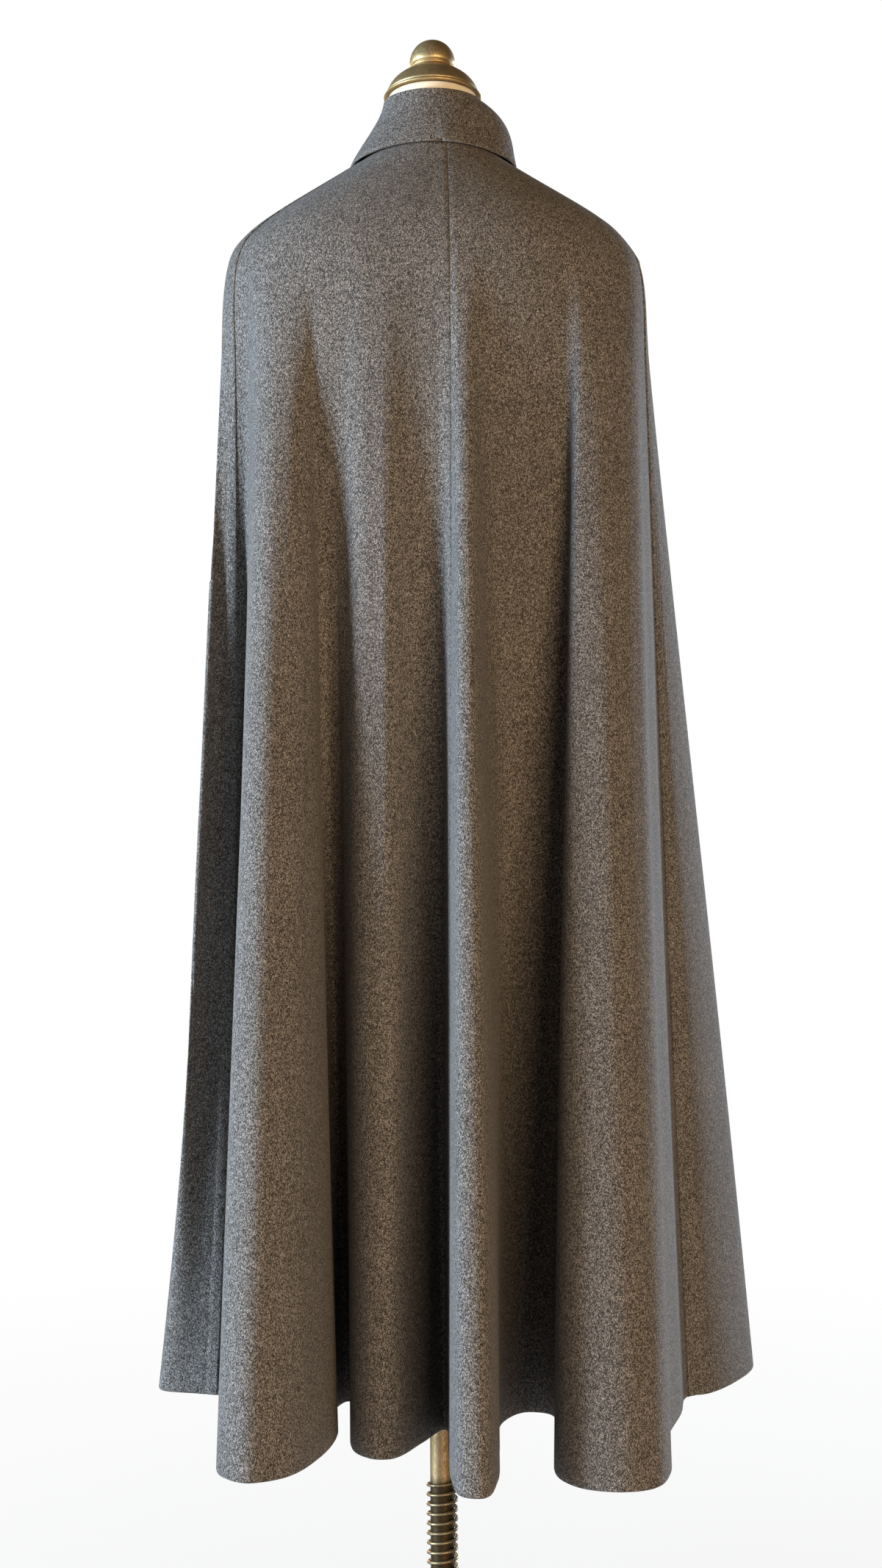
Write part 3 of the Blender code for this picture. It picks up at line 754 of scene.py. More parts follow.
@dataclass
class Drape:
    """The cape's one surface: neck seam, rounded shoulders and the folds that fall from them."""

    wall: float = 0.0020
    neck_half: Pair = (0.0710, 0.0640)
    neck_centre_y: float = 0.005
    neck_z: Triple = (1.521, 1.509, 1.466)
    front_spread: float = 19.5
    front_spread_reach: float = 10.0
    back_shift: float = 8.5
    back_shift_reach: float = 45.0
    shoulder_half: Pair = (0.2135, 0.128)
    shoulder_power: float = 2.4
    shoulder_z: float = 1.315
    corner_z: Triple = (1.442, 1.440, 1.417)
    corner_lean: float = 0.4
    corner_dip: float = 0.019
    hem_z: float = 0.265
    cone_half: Pair = (0.270, 0.210)
    cone_centre_y: float = 0.020
    cone_power: float = 2.2
    fold_top_z: float = 1.430
    softness: float = 0.06
    blur: float = 3.5

    def line(self, name: str) -> int:
        """The number of the drape line that a seam or an edge lies on."""
        return [fold.name for fold in FOLDS].index(name)

    def folds(self, u: np.ndarray) -> np.ndarray:
        """Turn, hem x, hem y and haste at line numbers u.

        A cubic Hermite curve through every line, whose knots are the square roots of the hem's chords and
        whose tangents are the chords' weighted means.

        Args:
            u: Line numbers, which may lie between lines and go more than once round.

        Returns:
            Four arrays in the shape of u, stacked.
        """
        lines = np.array([(f.turn, f.hem_x, f.hem_y, f.haste) for f in FOLDS])
        count = len(lines)
        rise = np.roll(lines, -1, axis=0) - lines
        rise[-1, 0] += 360
        span = np.sqrt(np.hypot(rise[:, 1], rise[:, 2]))[:, None]
        secant = rise / span
        before, before_span = np.roll(secant, 1, axis=0), np.roll(span, 1, axis=0)
        tangent = (before * span + secant * before_span) / (span + before_span)
        whole = np.floor(u).astype(int)
        part = (u - whole)[..., None]
        here, after = whole % count, (whole + 1) % count
        bend = (1 - part) ** 2 * part * tangent[here] - part**2 * (1 - part) * tangent[after]
        found = lines[here] + rise[here] * part**2 * (3 - 2 * part) + bend * span[here]
        found[..., 0] += 360 * (whole // count)
        return np.moveaxis(found, -1, 0)

    def neck_turn(self, turn: np.ndarray) -> np.ndarray:
        """Where a drape line leaves the neck seam, so that the centre front and back run straight down.

        Lines near the front are spread by x times e to the power of 1 - x, and those near the back are
        moved by a bell curve.

        Args:
            turn: The lines' degrees round the shoulder.

        Returns:
            Their degrees round the neck.
        """
        off_front = (turn - 180 + 180) % 360 - 180
        pull = np.abs(off_front) / self.front_spread_reach
        off_back = (turn + 180) % 360 - 180
        shift = self.back_shift * np.exp(-((off_back / self.back_shift_reach) ** 2))
        return turn + np.sign(off_front) * self.front_spread * pull * np.exp(1 - pull) + shift

    def blurred(self, u: np.ndarray) -> np.ndarray:
        """How far the hem is off the plain cone's, averaged over each line's neighbours with a bell curve.

        Args:
            u: Line numbers.

        Returns:
            The distances in x and in y, stacked.
        """
        lines = np.arange(0, len(FOLDS), 0.125)
        turn, hem_x, hem_y, _ = self.folds(lines)
        off = np.stack([hem_x, hem_y]) - oval(turn, self.cone_half, self.cone_power, self.cone_centre_y)
        apart = (turn[:, None] - turn + 180) % 360 - 180
        share = np.exp(-0.5 * (apart / self.blur) ** 2) * np.gradient(turn)
        mean = share @ off.T / share.sum(axis=1)[:, None]
        return np.stack([np.interp(u, lines, mean[:, i], period=len(FOLDS)) for i in (0, 1)])

    def points(self, u: np.ndarray, v: np.ndarray) -> np.ndarray:
        """Points of the outer face.

        The skirt is a plain cone, and the yoke a Bezier curve whose lower handle is on the corner, with its
        upper one a little below. The folds move both sideways, the more so the lower a point is.

        Args:
            u: Line numbers.
            v: 0 at the neck seam, 1 at the shoulder and 2 at the hem.

        Returns:
            The points, as (..., 3).
        """
        turn, hem_x, hem_y, haste = self.folds(u)
        level = np.full_like(turn, self.shoulder_z)
        shoulder = np.stack([*oval(turn, self.shoulder_half, self.shoulder_power, 0.0), level])
        level = np.full_like(turn, self.hem_z)
        cone = np.stack([*oval(turn, self.cone_half, self.cone_power, self.cone_centre_y), level])
        skirt = shoulder + (cone - shoulder) * np.clip(v - 1, 0, 1)

        corner_z = around(turn, self.corner_z)
        lean = self.corner_lean * (corner_z - self.shoulder_z) / (self.hem_z - self.shoulder_z)
        corner = np.stack([*(shoulder + (cone - shoulder) * lean)[:2], corner_z])
        seam_turn = self.neck_turn(turn)
        neck_z = around(seam_turn, self.neck_z)
        neck = np.stack([*oval(seam_turn, self.neck_half, 2.0, self.neck_centre_y), neck_z])
        rise = np.clip(v, 0, 1)
        yoke = neck * (1 - rise) ** 3 + corner * 3 * rise * (1 - rise) + shoulder * rise**3
        yoke[2] -= self.corner_dip * 3 * rise * (1 - rise) ** 2

        points = np.where(v > 1, skirt, yoke)
        opened = np.clip((self.fold_top_z - points[2]) / (self.fold_top_z - self.hem_z), 0, 1)
        soft = np.hypot(opened, self.softness) - self.softness
        soft = soft / (math.hypot(1, self.softness) - self.softness)
        fold = np.stack([hem_x, hem_y]) - cone[:2]
        fold += (self.blurred(u) - fold) * (1 - opened) ** 3
        points[:2] += fold * (soft + haste * soft * (1 - soft))
        return np.moveaxis(points, 0, -1)

    def directions(self, u: np.ndarray, v: np.ndarray) -> tuple[np.ndarray, np.ndarray]:
        """Directions on the cloth, from small differences.

        Args:
            u: Line numbers.
            v: 0 at the neck seam, 1 at the shoulder and 2 at the hem.

        Returns:
            Unit vectors along the cloth towards a larger u, and out of the cloth.
        """
        step = 0.002
        along = unit(self.points(u + step, v) - self.points(u - step, v))
        down = self.points(u, np.clip(v + step, 0, 2)) - self.points(u, np.clip(v - step, 0, 2))
        return along, unit(np.cross(down, along))


@dataclass
class Cape:
    """Four panels on the drape, with their creases, seams and topstitching."""

    drape: Drape
    wool: Material
    columns_per_line: int = 12
    yoke_rows: int = 40
    skirt_rows: int = 120
    seam_gap: float = 0.0002
    hem_extra: float = 0.0016
    hem_depth: float = 0.030
    stitch_inset: float = 0.011
    stitch_pitch: float = 0.0042
    stitch_length: float = 0.0032
    stitch_width: float = 0.0007
    stitch_lift: float = 0.0001
    stitch_span: Pair = (0.03, 1.995)
    stitch_samples: int = 4000
    allowance_rise: float = 0.0009
    stitch_sink: float = 0.0007
    stitch_sink_width: float = 0.0014
    tuck_depth: float = 0.0007
    tuck_width: float = 0.006
    groove_depth: float = 0.0006
    groove_width: float = 0.0010
    pressed_rise: float = 0.0003
    pressed_inset: float = 0.006
    pressed_width: float = 0.004
    creases: tuple[Crease, ...] = field(default_factory=tuple)

    def relief(self, u: np.ndarray, v: np.ndarray) -> np.ndarray:
        """How far the creases stand out: a sum of slanted bell curves, each repeated once round the cape.

        Args:
            u: Line numbers.
            v: 0 at the neck seam, 1 at the shoulder and 2 at the hem.

        Returns:
            The rises.
        """
        total = np.zeros_like(u)
        for crease in self.creases:
            off = u - crease.u - crease.slant * (v - crease.v)
            off = (off + len(FOLDS) / 2) % len(FOLDS) - len(FOLDS) / 2
            down = (v - crease.v) / crease.half_v
            total += crease.depth * np.exp(-((off / crease.half_u) ** 2) - down**2)
        return total

    def rows(self) -> np.ndarray:
        """Heights of the rows: even on the yoke, and closer together near the shoulder and the hem."""
        t = np.linspace(0, 1, self.skirt_rows + 1)[1:]
        return np.concatenate([np.linspace(0, 1, self.yoke_rows + 1), 1 + t - 0.06 * np.sin(2 * math.pi * t)])

    def panel(
        self,
        name: str,
        node: str,
        lines: tuple[int, int],
        edges: tuple[Edge, Edge],
        lap: Lap = Lap.NONE,
    ) -> Object:
        """Builds one panel, from one drape line to another.

        Args:
            name: The piece's name.
            node: The CAD node it stands for.
            lines: First and last drape line.
            edges: How its first and its last side are finished.
            lap: How it lies in the front overlap.

        Returns:
            The panel's object.
        """
        count = (lines[1] - lines[0]) * self.columns_per_line
        u, v = np.meshgrid(np.linspace(lines[0], lines[1], count + 1), self.rows())
        along, out = self.drape.directions(u, v)
        plain = self.drape.points(u, v)
        across = np.linalg.norm(np.diff(plain, axis=1), axis=-1)
        from_first = np.hstack([np.zeros((len(u), 1)), np.cumsum(across, axis=1)])
        from_last = from_first[:, -1:] - from_first
        rise = self.relief(u, v)
        middle = (self.drape.line(LAP_RIGHT) + self.drape.line(LAP_LEFT)) / 2
        rise += lap.value * np.clip(1.5 - np.abs(u - middle), 0, 1)
        for edge, inset in zip(edges, (from_first, from_last)):
            rise += self.edge_rise(edge, inset)
        outer = plain + out * rise[..., None]
        inset = self.seam_gap / 2
        outer[:, 0] += along[:, 0] * inset
        outer[:, -1] -= along[:, -1] * inset
        to_hem = (2 - v) * (self.drape.shoulder_z - self.drape.hem_z)
        wall = self.drape.wall + self.hem_extra * smooth_step(1 - to_hem / self.hem_depth)
        sewn = (edges[0] is not Edge.RAW, edges[1] not in (Edge.RAW, Edge.LAPPED))
        points, faces = cloth_shell(outer, outer - out * wall[..., None], sewn)
        piece = new_piece(name, (points, faces), self.wool, "wool", node)
        return piece

    def edge_rise(self, edge: Edge, inset: np.ndarray) -> np.ndarray:
        """How far a side stands out, at distances from it.

        A lapped side has a raised allowance, drawn down along its stitch line. A tucked one sinks towards
        its edge, and a plain seam has a groove whose section is a bell curve, with a pressed ridge beside it.

        Args:
            edge: How the side is finished.
            inset: Distances from the side.

        Returns:
            The rises.
        """
        if edge is Edge.LAPPED:
            past = (inset - 0.8 * self.stitch_inset) / (0.35 * self.stitch_inset)
            drawn = bell((inset - self.stitch_inset) / self.stitch_sink_width)
            return self.allowance_rise * (1 - smooth_step(past)) - self.stitch_sink * drawn
        if edge is Edge.TUCKED:
            return -self.tuck_depth * (1 - smooth_step(inset / self.tuck_width))
        if edge is Edge.PLAIN_SEAM:
            ridge = bell((inset - self.pressed_inset) / self.pressed_width)
            return self.pressed_rise * ridge - self.groove_depth * bell(inset / self.groove_width)
        return np.zeros_like(inset)

    def topstitching(self, name: str, line: int, side: int, lap: Lap) -> Object:
        """Sews a row of thread along a drape line, at the stitch inset from it.

        The line's points are moved along the cloth by the inset, then thinned to one for each stitch.

        Args:
            name: The piece's name.
            line: The drape line.
            side: 1 for the side with larger line numbers, -1 for the other.
            lap: How the cloth lies in the front overlap.

        Returns:
            The new object.
        """
        v = np.linspace(*self.stitch_span, self.stitch_samples)
        u = np.full_like(v, float(line))
        step = 0.05
        beside = self.drape.points(u + step * side, v) - self.drape.points(u, v)
        at = u + side * self.stitch_inset / (np.linalg.norm(beside, axis=-1) / step)
        out = self.drape.directions(at, v)[1]
        inset = np.full_like(v, self.stitch_inset)
        rise = self.relief(at, v) + lap.value + self.edge_rise(Edge.LAPPED, inset)
        row = self.drape.points(at, v) + out * rise[:, None]
        length = np.concatenate([[0], np.cumsum(np.linalg.norm(np.diff(row, axis=0), axis=-1))])
        wanted = np.arange(self.stitch_pitch / 2, length[-1], self.stitch_pitch)
        pick = np.clip(np.searchsorted(length, wanted), 1, len(v) - 2)
        forward = unit(row[pick + 1] - row[pick - 1])
        centres = row[pick] + out[pick] * self.stitch_lift
        thread = stitches_mesh(centres, forward, out[pick], self.stitch_length, self.stitch_width)
        return new_piece(name, thread, self.wool, "wool")


@dataclass
class Collar:
    """Turned-down collar cut in one with its stand."""

    drape: Drape
    wool: Material
    half: Pair = (0.0465, 0.0465)
    centre_y: float = 0.008
    roll_z: Triple = (1.5725, 1.5710, 1.5300)
    roll_radius: float = 0.0020
    lift: Triple = (0.0004, 0.0004, 0.0022)
    reach: Triple = (0.022, 0.024, 0.170)
    clear: Triple = (0.0030, 0.0020, 0.0034)
    bulge: Triple = (0.0020, 0.0310, 0.0030)
    end_turn: float = 176.0
    columns: int = 260

    def middle(self, turn: np.ndarray, w: np.ndarray) -> np.ndarray:
        """Middle of the cloth. w is 0 at the neck seam, 1 to 2 over the roll and 3 at the fall's edge.

        The stand is a straight line up to the roll, the roll a half circle, and the fall a Bezier curve
        down to the yoke's own surface, moved out.

        Args:
            turn: Degrees from the centre back.
            w: Places across the collar.

        Returns:
            The points, as (..., 3).
        """
        lines = np.linspace(-1, len(FOLDS) + 1, 40 * (len(FOLDS) + 2) + 1)
        u = np.interp(turn % 360, self.drape.neck_turn(self.drape.folds(lines)[0]), lines)
        angle = np.radians(turn)
        outward = np.stack([np.sin(angle), -np.cos(angle), np.zeros_like(turn)], axis=-1)
        up = np.array([0.0, 0.0, 1.0])
        centre = np.stack([*oval(turn, self.half, 2.0, self.centre_y), around(turn, self.roll_z)], axis=-1)
        foot = self.drape.points(u, np.zeros_like(u)) - outward * self.drape.wall / 2
        foot = foot + up * around(turn, self.lift)[..., None]
        reach = around(turn, self.reach)
        off = around(turn, self.clear) + self.drape.wall / 2
        edge = self.drape.points(u, reach) + self.drape.directions(u, reach)[1] * off[..., None]
        part = np.clip(w, 0, 1)[..., None]
        stand = foot + (centre - outward * self.roll_radius - foot) * part
        angle = (np.pi * np.clip(w - 1, 0, 1))[..., None]
        roll = centre + self.roll_radius * (up * np.sin(angle) - outward * np.cos(angle))
        start = centre + outward * self.roll_radius
        right = (np.clip(np.sin(np.radians(turn)), 0, 1) ** 2)[..., None]
        part = np.clip(w - 2, 0, 1)[..., None]
        all_round, upper_right, lower_right = self.bulge
        upper = start + (edge - start) * [0.05, 0.05, 0.33] + outward * (all_round + upper_right * right)
        lower = start + (edge - start) * [0.72, 0.72, 0.72] + outward * (all_round + lower_right * right)
        fall = start * (1 - part) ** 3 + upper * 3 * part * (1 - part) ** 2
        fall = fall + lower * 3 * part**2 * (1 - part) + edge * part**3
        w = w[..., None]
        return np.where(w < 1, stand, np.where(w < 2, roll, fall))

    def build(self) -> Object:
        """Builds the collar as a wall about its middle.

        Returns:
            The new object.
        """
        stand, roll, fall = np.linspace(0, 1, 16), np.linspace(1, 2, 14), np.linspace(2, 3, 36)
        w_rows = np.concatenate([stand[:-1], roll[:-1], fall])
        turn, w = np.meshgrid(np.linspace(-self.end_turn, self.end_turn, self.columns + 1), w_rows)
        step = 0.01
        along = self.middle(turn + 1, w) - self.middle(turn - 1, w)
        down = self.middle(turn, np.clip(w + step, 0, 3)) - self.middle(turn, np.clip(w - step, 0, 3))
        out = unit(np.cross(down, along))
        middle = self.middle(turn, w)
        waves = 0.0006 * np.sin(np.radians(turn * 5 + 40)) * smooth_step(w - 2)
        middle = middle + out * waves[..., None]
        half = self.drape.wall / 2 + 0.0003 * smooth_step((w - 2.8) / 0.2)
        points, faces = cloth_shell(middle + out * half[..., None], middle - out * half[..., None])
        piece = new_piece("collar_cloth", (points, faces), self.wool, "wool", "collar")
        return piece


CREASES = (
    # right shoulder's small point, and the drag that runs from it to the neck
    Crease(19.2, 0.62, 0.9, 0.05, 0.0035),
    Crease(16.5, 0.50, 1.6, 0.10, -0.0020, 4.0),
    # left shoulder, rounder
    Crease(46.5, 0.55, 1.8, 0.12, 0.0020),
    # soft hollows on the yoke's back
    Crease(11.5, 0.75, 1.6, 0.20, -0.0025),
    Crease(53.5, 0.80, 1.8, 0.22, -0.0020),
    Crease(61.0, 0.70, 1.4, 0.16, 0.0015),
    # ridges and troughs that run down the back folds
    Crease(11.8, 1.40, 0.5, 0.35, 0.0030, 0.4),
    Crease(13.2, 1.55, 0.5, 0.40, -0.0030, -0.3),
    Crease(53.8, 1.45, 0.5, 0.35, -0.0028, 0.4),
    Crease(55.2, 1.30, 0.4, 0.25, 0.0025, 0.3),
    Crease(62.0, 1.35, 0.5, 0.30, -0.0022),
    # side panels
    Crease(20.5, 1.35, 0.6, 0.30, -0.0030, 0.5),
    Crease(47.5, 1.50, 0.5, 0.25, 0.0030, 0.6),
    # front
    Crease(25.0, 1.45, 0.6, 0.35, -0.0028, 0.4),
    Crease(30.0, 1.30, 0.5, 0.25, 0.0025, -0.4),
    Crease(37.0, 1.55, 0.6, 0.35, -0.0026, 0.4),
    Crease(41.0, 1.35, 0.5, 0.30, 0.0025, -0.3),
    Crease(31.5, 0.60, 1.0, 0.15, -0.0018, 3.0),
    Crease(34.5, 0.65, 1.0, 0.15, -0.0018, -3.0),
)


# ---------------------------------------------------------------- dress form


@dataclass
class DressForm:
    """Padded torso and neck, brass cap and knob."""

    cover: Material
    brass: Material
    segments: int = 144
    power: float = 2.2
    tilt: float = 9.0
    centre_y: float = 0.008
    seat_z: float = 1.5764
    sections: tuple[tuple[float, float, float, float, float], ...] = (
        (0.8850, 0.142, 0.088, 0.000, 0.0),
        (0.8930, 0.151, 0.096, 0.000, 0.0),
        (0.9500, 0.158, 0.101, 0.000, 0.0),
        (1.0400, 0.136, 0.092, 0.000, 0.0),
        (1.1300, 0.117, 0.084, 0.002, 0.0),
        (1.2200, 0.136, 0.098, 0.005, 0.0),
        (1.3000, 0.155, 0.103, 0.003, 0.0),
        (1.3700, 0.176, 0.098, 0.000, 0.0),
        (1.4100, 0.186, 0.092, 0.000, 0.0),
        (1.4250, 0.185, 0.088, 0.000, 0.0),
        (1.4365, 0.178, 0.084, -0.001, 1.0),
        (1.4465, 0.163, 0.078, -0.002, 3.0),
        (1.4570, 0.145, 0.072, -0.003, 6.0),
        (1.4690, 0.121, 0.065, -0.003, 10.0),
        (1.4800, 0.096, 0.058, -0.002, 13.0),
        (1.4900, 0.073, 0.051, 0.000, 16.0),
        (1.5010, 0.056, 0.046, 0.003, 18.0),
        (1.5200, 0.0475, 0.0430, 0.006, 18.0),
        (1.5450, 0.0425, 0.0415, 0.008, 13.0),
        (1.5640, 0.0420, 0.0415, 0.008, 9.0),
        (1.5740, 0.0425, 0.0420, 0.008, 9.0),
        (1.5760, 0.0445, 0.0440, 0.008, 9.0),
    )

    def torso(self) -> Object:
        """Rings of superellipses through the sections' smooth curve, closed by a fan at each end.

        Returns:
            The new object.
        """
        sections = through(np.array(self.sections), 6)
        turn = np.arange(self.segments) * 360 / self.segments
        z, half_width, half_depth, centre_y, tilt = sections.T[:, :, None]
        power = 2 + (self.power - 2) * smooth_step((1.53 - z) / 0.05)
        sine, cosine = np.sin(np.radians(turn)), np.cos(np.radians(turn))
        x = half_width * np.sign(sine) * np.abs(sine) ** (2 / power)
        y = -half_depth * np.sign(cosine) * np.abs(cosine) ** (2 / power)
        rings = np.stack([x, y + centre_y, z - y * np.tan(np.radians(tilt))], axis=-1)
        index = np.arange(rings[..., 0].size).reshape(rings.shape[:2])
        index = np.hstack([index, index[:, :1]])
        count = rings[..., 0].size
        ends = np.stack([rings[0].mean(axis=0), rings[-1].mean(axis=0)])
        low, high = index[0], index[-1]
        faces = [
            quads_of(index)[:, ::-1],
            np.stack([low[1:], low[:-1], np.full(self.segments, count)], axis=-1),
            np.stack([high[:-1], high[1:], np.full(self.segments, count + 1)], axis=-1),
        ]
        points = np.vstack([rings.reshape(-1, 3), ends])
        piece = new_piece("form_cover", (points, faces), self.cover, "form_cover", "form_torso")
        piece.data.set_sharp_from_angle(angle=math.radians(50))
        return piece

    def on_neck(self, name: str, profile: Profile, per_span: int, node: str) -> Object:
        """Turns a brass piece and leans it forward with the neck's top.

        Args:
            name: The piece's name.
            profile: (radius, height above the seat) rows, that a smooth curve goes through.
            per_span: Rings from one row to the next.
            node: The CAD node it stands for.

        Returns:
            The new object.
        """
        points, faces = turned_mesh(through(np.array(profile), per_span))
        angle = -math.radians(self.tilt)
        sine, cosine = math.sin(angle), math.cos(angle)
        lean = np.array([[1, 0, 0], [0, cosine, -sine], [0, sine, cosine]])
        seated = points @ lean.T + [0, self.centre_y, self.seat_z]
        return new_piece(name, (seated, faces), self.brass, "antique_brass", node)

    def cap(self) -> Object:
        """Domed neck cap with a rolled rim.

        Returns:
            The new object.
        """
        profile = [
            (0.0, 0.0300), (0.0190, 0.0300), (0.0215, 0.0296), (0.0270, 0.0272), (0.0340, 0.0225),
            (0.0385, 0.0185), (0.0425, 0.0135), (0.0455, 0.0078), (0.0462, 0.0056), (0.0460, 0.0044),
            (0.0472, 0.0038), (0.0478, 0.0024), (0.0472, 0.0010), (0.0455, 0.0008), (0.0, 0.0008),
        ]
        return self.on_neck("cap_dome", profile, 5, "neck_cap")

    def knob(self) -> Object:
        """Turned knob with a bead and grooves at its foot.

        Returns:
            The new object.
        """
        profile = [
            (0.0, 0.0612), (0.0050, 0.0609), (0.0110, 0.0588), (0.0166, 0.0545), (0.0207, 0.0482),
            (0.0226, 0.0422), (0.0230, 0.0382), (0.0224, 0.0356), (0.0208, 0.0345), (0.0206, 0.0339),
            (0.0219, 0.0332), (0.0223, 0.0322), (0.0217, 0.0313),
            (0.0203, 0.0308), (0.0203, 0.0303), (0.0, 0.0303),
        ]
        return self.on_neck("knob", profile, 5, "finial")


# ---------------------------------------------------------------- stand


@dataclass
class Stand:
    """Pole with its spring, and the round foot."""

    bronze: Material
    steel: Material
    iron: Material
    pole_radius: float = 0.0120
    pole_foot_z: float = 0.0300
    pole_top_z: float = 0.8765
    wire: float = 0.00175
    spring_radius: float = 0.01430
    spring_pitch: float = 0.0097
    spring_foot_z: float = 0.0590
    spring_turns: int = 13

    def turned(self, name: str, profile: Profile, look: Material, slot: str, node: str) -> Object:
        """Turns a piece about the pole's axis, and keeps its hard edges.

        Args:
            name: The piece's name.
            profile: (radius, height) rows from top to bottom.
            look: The piece's material.
            slot: The record's material slot.
            node: The CAD node it stands for.

        Returns:
            The new object.
        """
        piece = new_piece(name, turned_mesh(np.array(profile)), look, slot, node)
        piece.data.set_sharp_from_angle(angle=math.radians(28))
        return piece

    def pole(self) -> Object:
        """Straight tube with chamfered ends and evenly spaced rings, so that its shading stays even.

        Returns:
            The new object.
        """
        r, top, foot, cut = self.pole_radius, self.pole_top_z, self.pole_foot_z, 0.0008
        shaft = [(r, z) for z in np.linspace(top - cut, foot + cut, 24)]
        profile = [(0, top), (r - cut, top), *shaft, (r - cut, foot), (0, foot)]
        return self.turned("pole_tube", profile, self.bronze, "bronzed_steel", "pole")

    def spring(self) -> Object:
        """Round wire along a helix, thinned where its ends are ground flat.

        Returns:
            The new object.
        """
        turns = np.linspace(0, self.spring_turns, self.spring_turns * 48 + 1)
        angle = turns * 2 * math.pi
        height = self.spring_foot_z + self.spring_pitch * turns
        x, y = self.spring_radius * np.cos(angle), self.spring_radius * np.sin(angle)
        path = np.stack([x, y, height], axis=-1)
        ends = np.minimum(turns, self.spring_turns - turns)
        points, faces = tube_mesh(path, self.wire * (0.72 + 0.28 * smooth_step(ends / 0.6)), 14)
        return new_piece("spring_wire", (points, faces), self.steel, "spring_steel", "spring")

    def foot(self) -> None:
        """Plate under the torso, hub and round foot."""
        flange = [
            (0, 0.8847), (0.0440, 0.8847), (0.0450, 0.8840), (0.0450, 0.8805),
            (0.0435, 0.8796), (0.0250, 0.8770), (0.0240, 0.8768), (0, 0.8768),
        ]
        self.turned("flange_plate", flange, self.iron, "cast_iron", "flange")
        collar = [(0.0125, 0.0556), (0.0129, 0.0560), (0.0206, 0.0560), (0.0214, 0.0556), (0.0240, 0.0530)]
        body = [
            (0.0240, 0.0530), (0.0248, 0.0440), (0.0262, 0.0330),
            (0.0300, 0.0280), (0.0378, 0.0246), (0.0396, 0.0238),
        ]
        under = [(0.0400, 0.0230), (0.0397, 0.0223), (0, 0.0223)]
        hub = [(0, 0.0295), (0.0125, 0.0295), *collar, *through(np.array(body), 5)[1:].tolist(), *under]
        self.turned("hub_casting", hub, self.iron, "cast_iron", "hub")
        edge = [(0.1900, 0.0130), (0.1948, 0.0114), (0.1982, 0.0088), (0.1997, 0.0058), (0.2000, 0.0040)]
        top = [
            (0, 0.0220), (0.0500, 0.0220), (0.0515, 0.0215),
            (0.0530, 0.0213), (0.1000, 0.0192), (0.1500, 0.0165),
        ]
        plate = [*top, *through(np.array(edge), 4).tolist(), (0.2000, 0.0006), (0.1994, 0.0), (0, 0.0)]
        self.turned("foot_plate", plate, self.iron, "cast_iron", "base")


# ---------------------------------------------------------------- studio


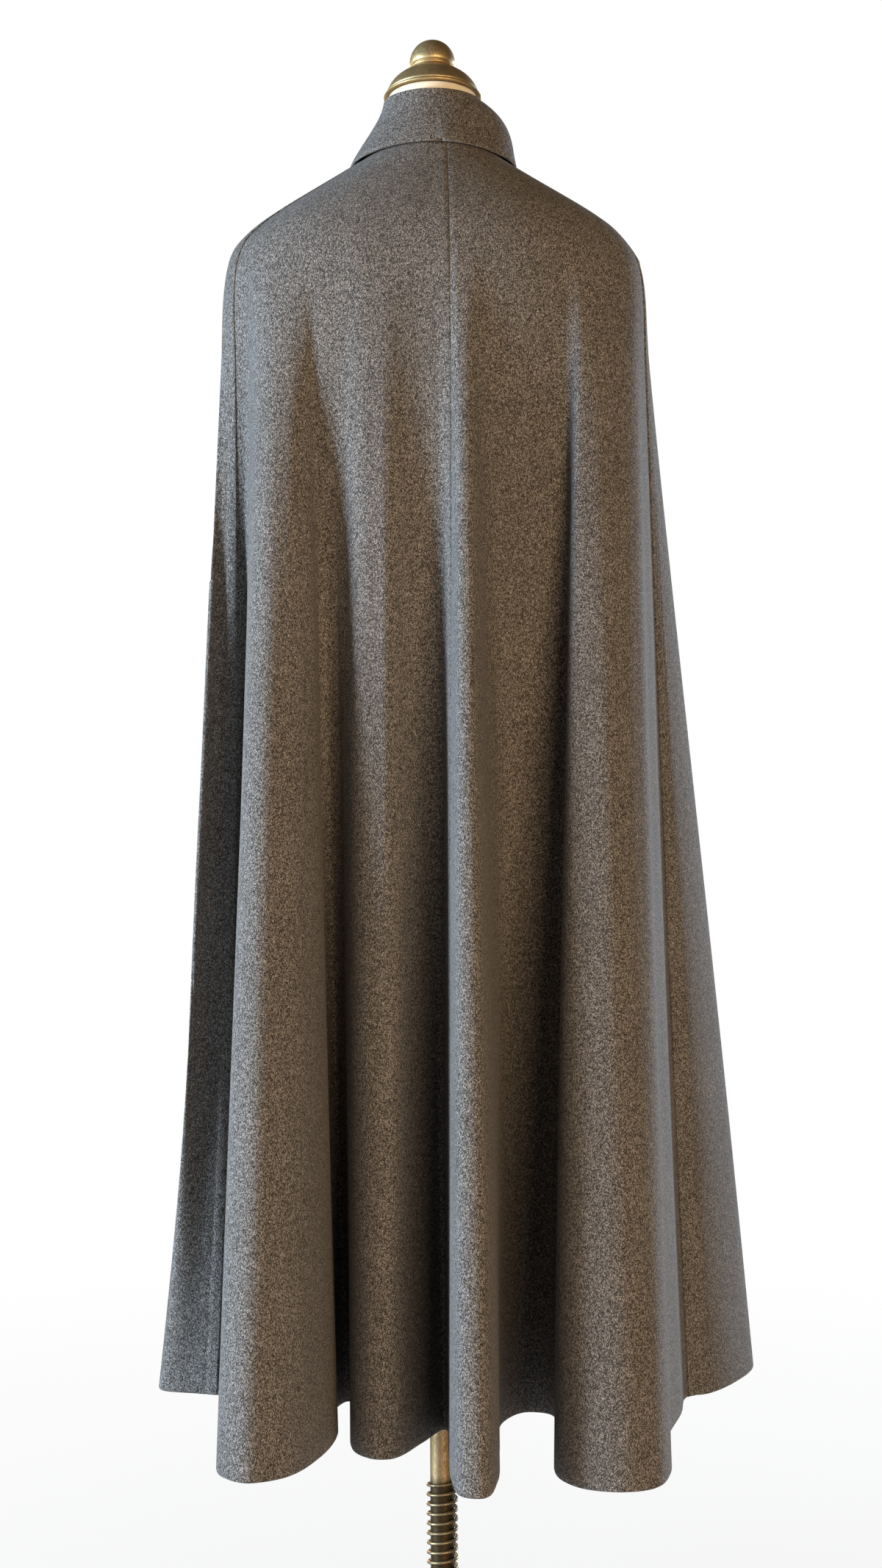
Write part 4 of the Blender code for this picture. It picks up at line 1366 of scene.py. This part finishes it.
@dataclass
class Studio:
    """Pale floor, soft lights and the camera."""

    distance: float = 2.6
    height: float = 0.885
    side: float = 0.0037
    roll: float = 0.4
    lens: float = 59.3
    aim: Triple = (0.0, 0.0, 0.9)
    light_height: float = 2.6
    floor_radius: float = 14.0
    floor_sides: int = 96

    def camera(self) -> None:
        """Level camera behind the cape, at its middle height."""
        data = bpy.data.cameras.new("camera")
        data.sensor_fit = "VERTICAL"
        data.sensor_height = 36
        data.lens = self.lens
        camera = bpy.data.objects.new("camera", data)
        camera.location = (self.side, -self.distance, self.height)
        camera.rotation_euler = Euler((math.pi / 2, math.radians(self.roll), 0))
        bpy.context.scene.collection.objects.link(camera)
        bpy.context.scene.camera = camera

    def light(self, name: str, place: Triple, size: float, power: float, colour: Rgb) -> None:
        """Sets up a tall soft light, turned towards the cape.

        Args:
            name: The light's name.
            place: Where it stands.
            size: Its width.
            power: Its power in watts.
            colour: Its colour.
        """
        data = bpy.data.lights.new(name, "AREA")
        data.shape = "RECTANGLE"
        data.size, data.size_y, data.energy, data.color = size, self.light_height, power, colour
        lamp = bpy.data.objects.new(name, data)
        lamp.location = place
        lamp.rotation_euler = (Vector(self.aim) - Vector(place)).to_track_quat("-Z", "Y").to_euler()
        bpy.context.scene.collection.objects.link(lamp)

    def lights(self) -> None:
        """Cool key from the left, warm fill from the right, and a warm and a cool light on the front."""
        self.light("key", (-3.5, -1.05, 1.0), 0.9, 350, (0.64, 0.81, 1.0))
        self.light("fill", (1.3, -3.7, 0.95), 1.8, 128, (1.0, 0.72, 0.44))
        self.light("front_left", (-1.3, 3.7, 0.95), 1.8, 120, (1.0, 0.73, 0.46))
        self.light("front_right", (2.4, 2.9, 1.0), 1.0, 190, (0.66, 0.82, 1.0))

    def world(self) -> None:
        """White behind the object, and a dim warm light from all round."""
        world = bpy.data.worlds.new("studio")
        world.use_nodes = True
        tree = world.node_tree
        tree.nodes.clear()
        seen = add(tree, "ShaderNodeBackground", {"Color": (1, 1, 1, 1), "Strength": 1.0})
        felt = add(tree, "ShaderNodeBackground", {"Color": (1.0, 0.90, 0.80, 1), "Strength": 0.055})
        path = add(tree, "ShaderNodeLightPath")
        choice = {0: path.outputs["Is Camera Ray"], 1: felt.outputs[0], 2: seen.outputs[0]}
        mix = add(tree, "ShaderNodeMixShader", choice)
        out = add(tree, "ShaderNodeOutputWorld")
        tree.links.new(mix.outputs[0], out.inputs["Surface"])
        bpy.context.scene.world = world

    def floor(self) -> None:
        """A wide pale floor that keeps a soft shadow."""
        turn = np.arange(self.floor_sides) * 2 * math.pi / self.floor_sides
        x, y = self.floor_radius * np.cos(turn), self.floor_radius * np.sin(turn)
        rim = np.stack([x, y, np.full(self.floor_sides, -0.0005)], axis=-1)
        mesh = bpy.data.meshes.new("floor")
        mesh.from_pydata(rim.tolist(), [], [list(range(self.floor_sides))])
        material, tree, shader, coordinate = shader_of("floor")
        shader.inputs["Base Color"].default_value = (0.45, 0.45, 0.45, 1)
        shader.inputs["Roughness"].default_value = 0.9
        glow = add(tree, "ShaderNodeEmission", {"Color": (1, 1, 1, 1), "Strength": 1.0})
        path = add(tree, "ShaderNodeLightPath")
        away = add(tree, "ShaderNodeVectorMath", {0: coordinate}, operation="LENGTH")
        fade = remap(tree, away.outputs["Value"], 0.3, 2.2, (0.86, 1.0))
        share = maths(tree, "MULTIPLY", path.outputs["Is Camera Ray"], fade)
        mix = add(tree, "ShaderNodeMixShader", {0: share, 1: shader.outputs[0], 2: glow.outputs[0]})
        tree.links.new(mix.outputs[0], tree.nodes["Material Output"].inputs["Surface"])
        mesh.materials.append(material)
        floor = bpy.data.objects.new("floor", mesh)
        bpy.context.scene.collection.objects.link(floor)


def main() -> None:
    """Builds the studio, the cape, the dress form and the stand, in that order."""
    logging.basicConfig(level=logging.INFO, format="%(name)s: %(message)s")
    studio = Studio()
    studio.camera()
    studio.world()
    studio.lights()
    studio.floor()
    bpy.context.scene.view_settings.view_transform = "Standard"

    patina = patina_group()
    wool = MeltonWool().material(heather_group())
    metals = (
        AgedMetal("antique_brass", (0.70, 0.54, 0.29), (0.40, 0.285, 0.135), 0.6, 120.0),
        # The pole goes almost black below 0.192 m: painted shade and dirt where the spring wraps it.
        AgedMetal("bronzed_steel", (0.50, 0.36, 0.19), (0.20, 0.125, 0.06), 0.6, 70.0, shade_and_grime_top=0.192),
        AgedMetal("spring_steel", (0.46, 0.36, 0.21), (0.10, 0.07, 0.04), 0.6, 160.0),
        AgedMetal("cast_iron", (0.075, 0.066, 0.056), (0.022, 0.018, 0.014), 0.9, 220.0, 0.35),
    )
    brass, bronze, steel, iron = (metal.material(patina) for metal in metals)

    drape = Drape()
    cape = Cape(drape, wool, creases=CREASES)
    back, right, left = drape.line(CENTRE_BACK), drape.line(RIGHT_SIDE), drape.line(LEFT_SIDE)
    lap_right, lap_left = drape.line(LAP_RIGHT), drape.line(LAP_LEFT)
    seam, tucked, lapped, raw = Edge.PLAIN_SEAM, Edge.TUCKED, Edge.LAPPED, Edge.RAW
    cape.panel("back_right_cloth", "back_right", (back, right), (seam, tucked))
    cape.panel("front_right_cloth", "front_right", (right, lap_left), (lapped, lapped), Lap.OVER)
    cape.panel("front_left_cloth", "front_left", (lap_right, left), (raw, lapped), Lap.UNDER)
    cape.panel("back_left_cloth", "back_left", (left, len(FOLDS) + back), (tucked, seam))
    cape.topstitching("stitches_right_side", right, 1, Lap.NONE)
    cape.topstitching("stitches_left_side", left, -1, Lap.NONE)
    cape.topstitching("stitches_front_edge", lap_left, -1, Lap.OVER)
    Collar(drape, wool).build()

    form = DressForm(JerseyCover().material(knit_group()), brass)
    form.torso()
    form.cap()
    form.knob()
    stand = Stand(bronze, steel, iron)
    stand.pole()
    stand.spring()
    stand.foot()


if __name__ == "__main__":
    main()
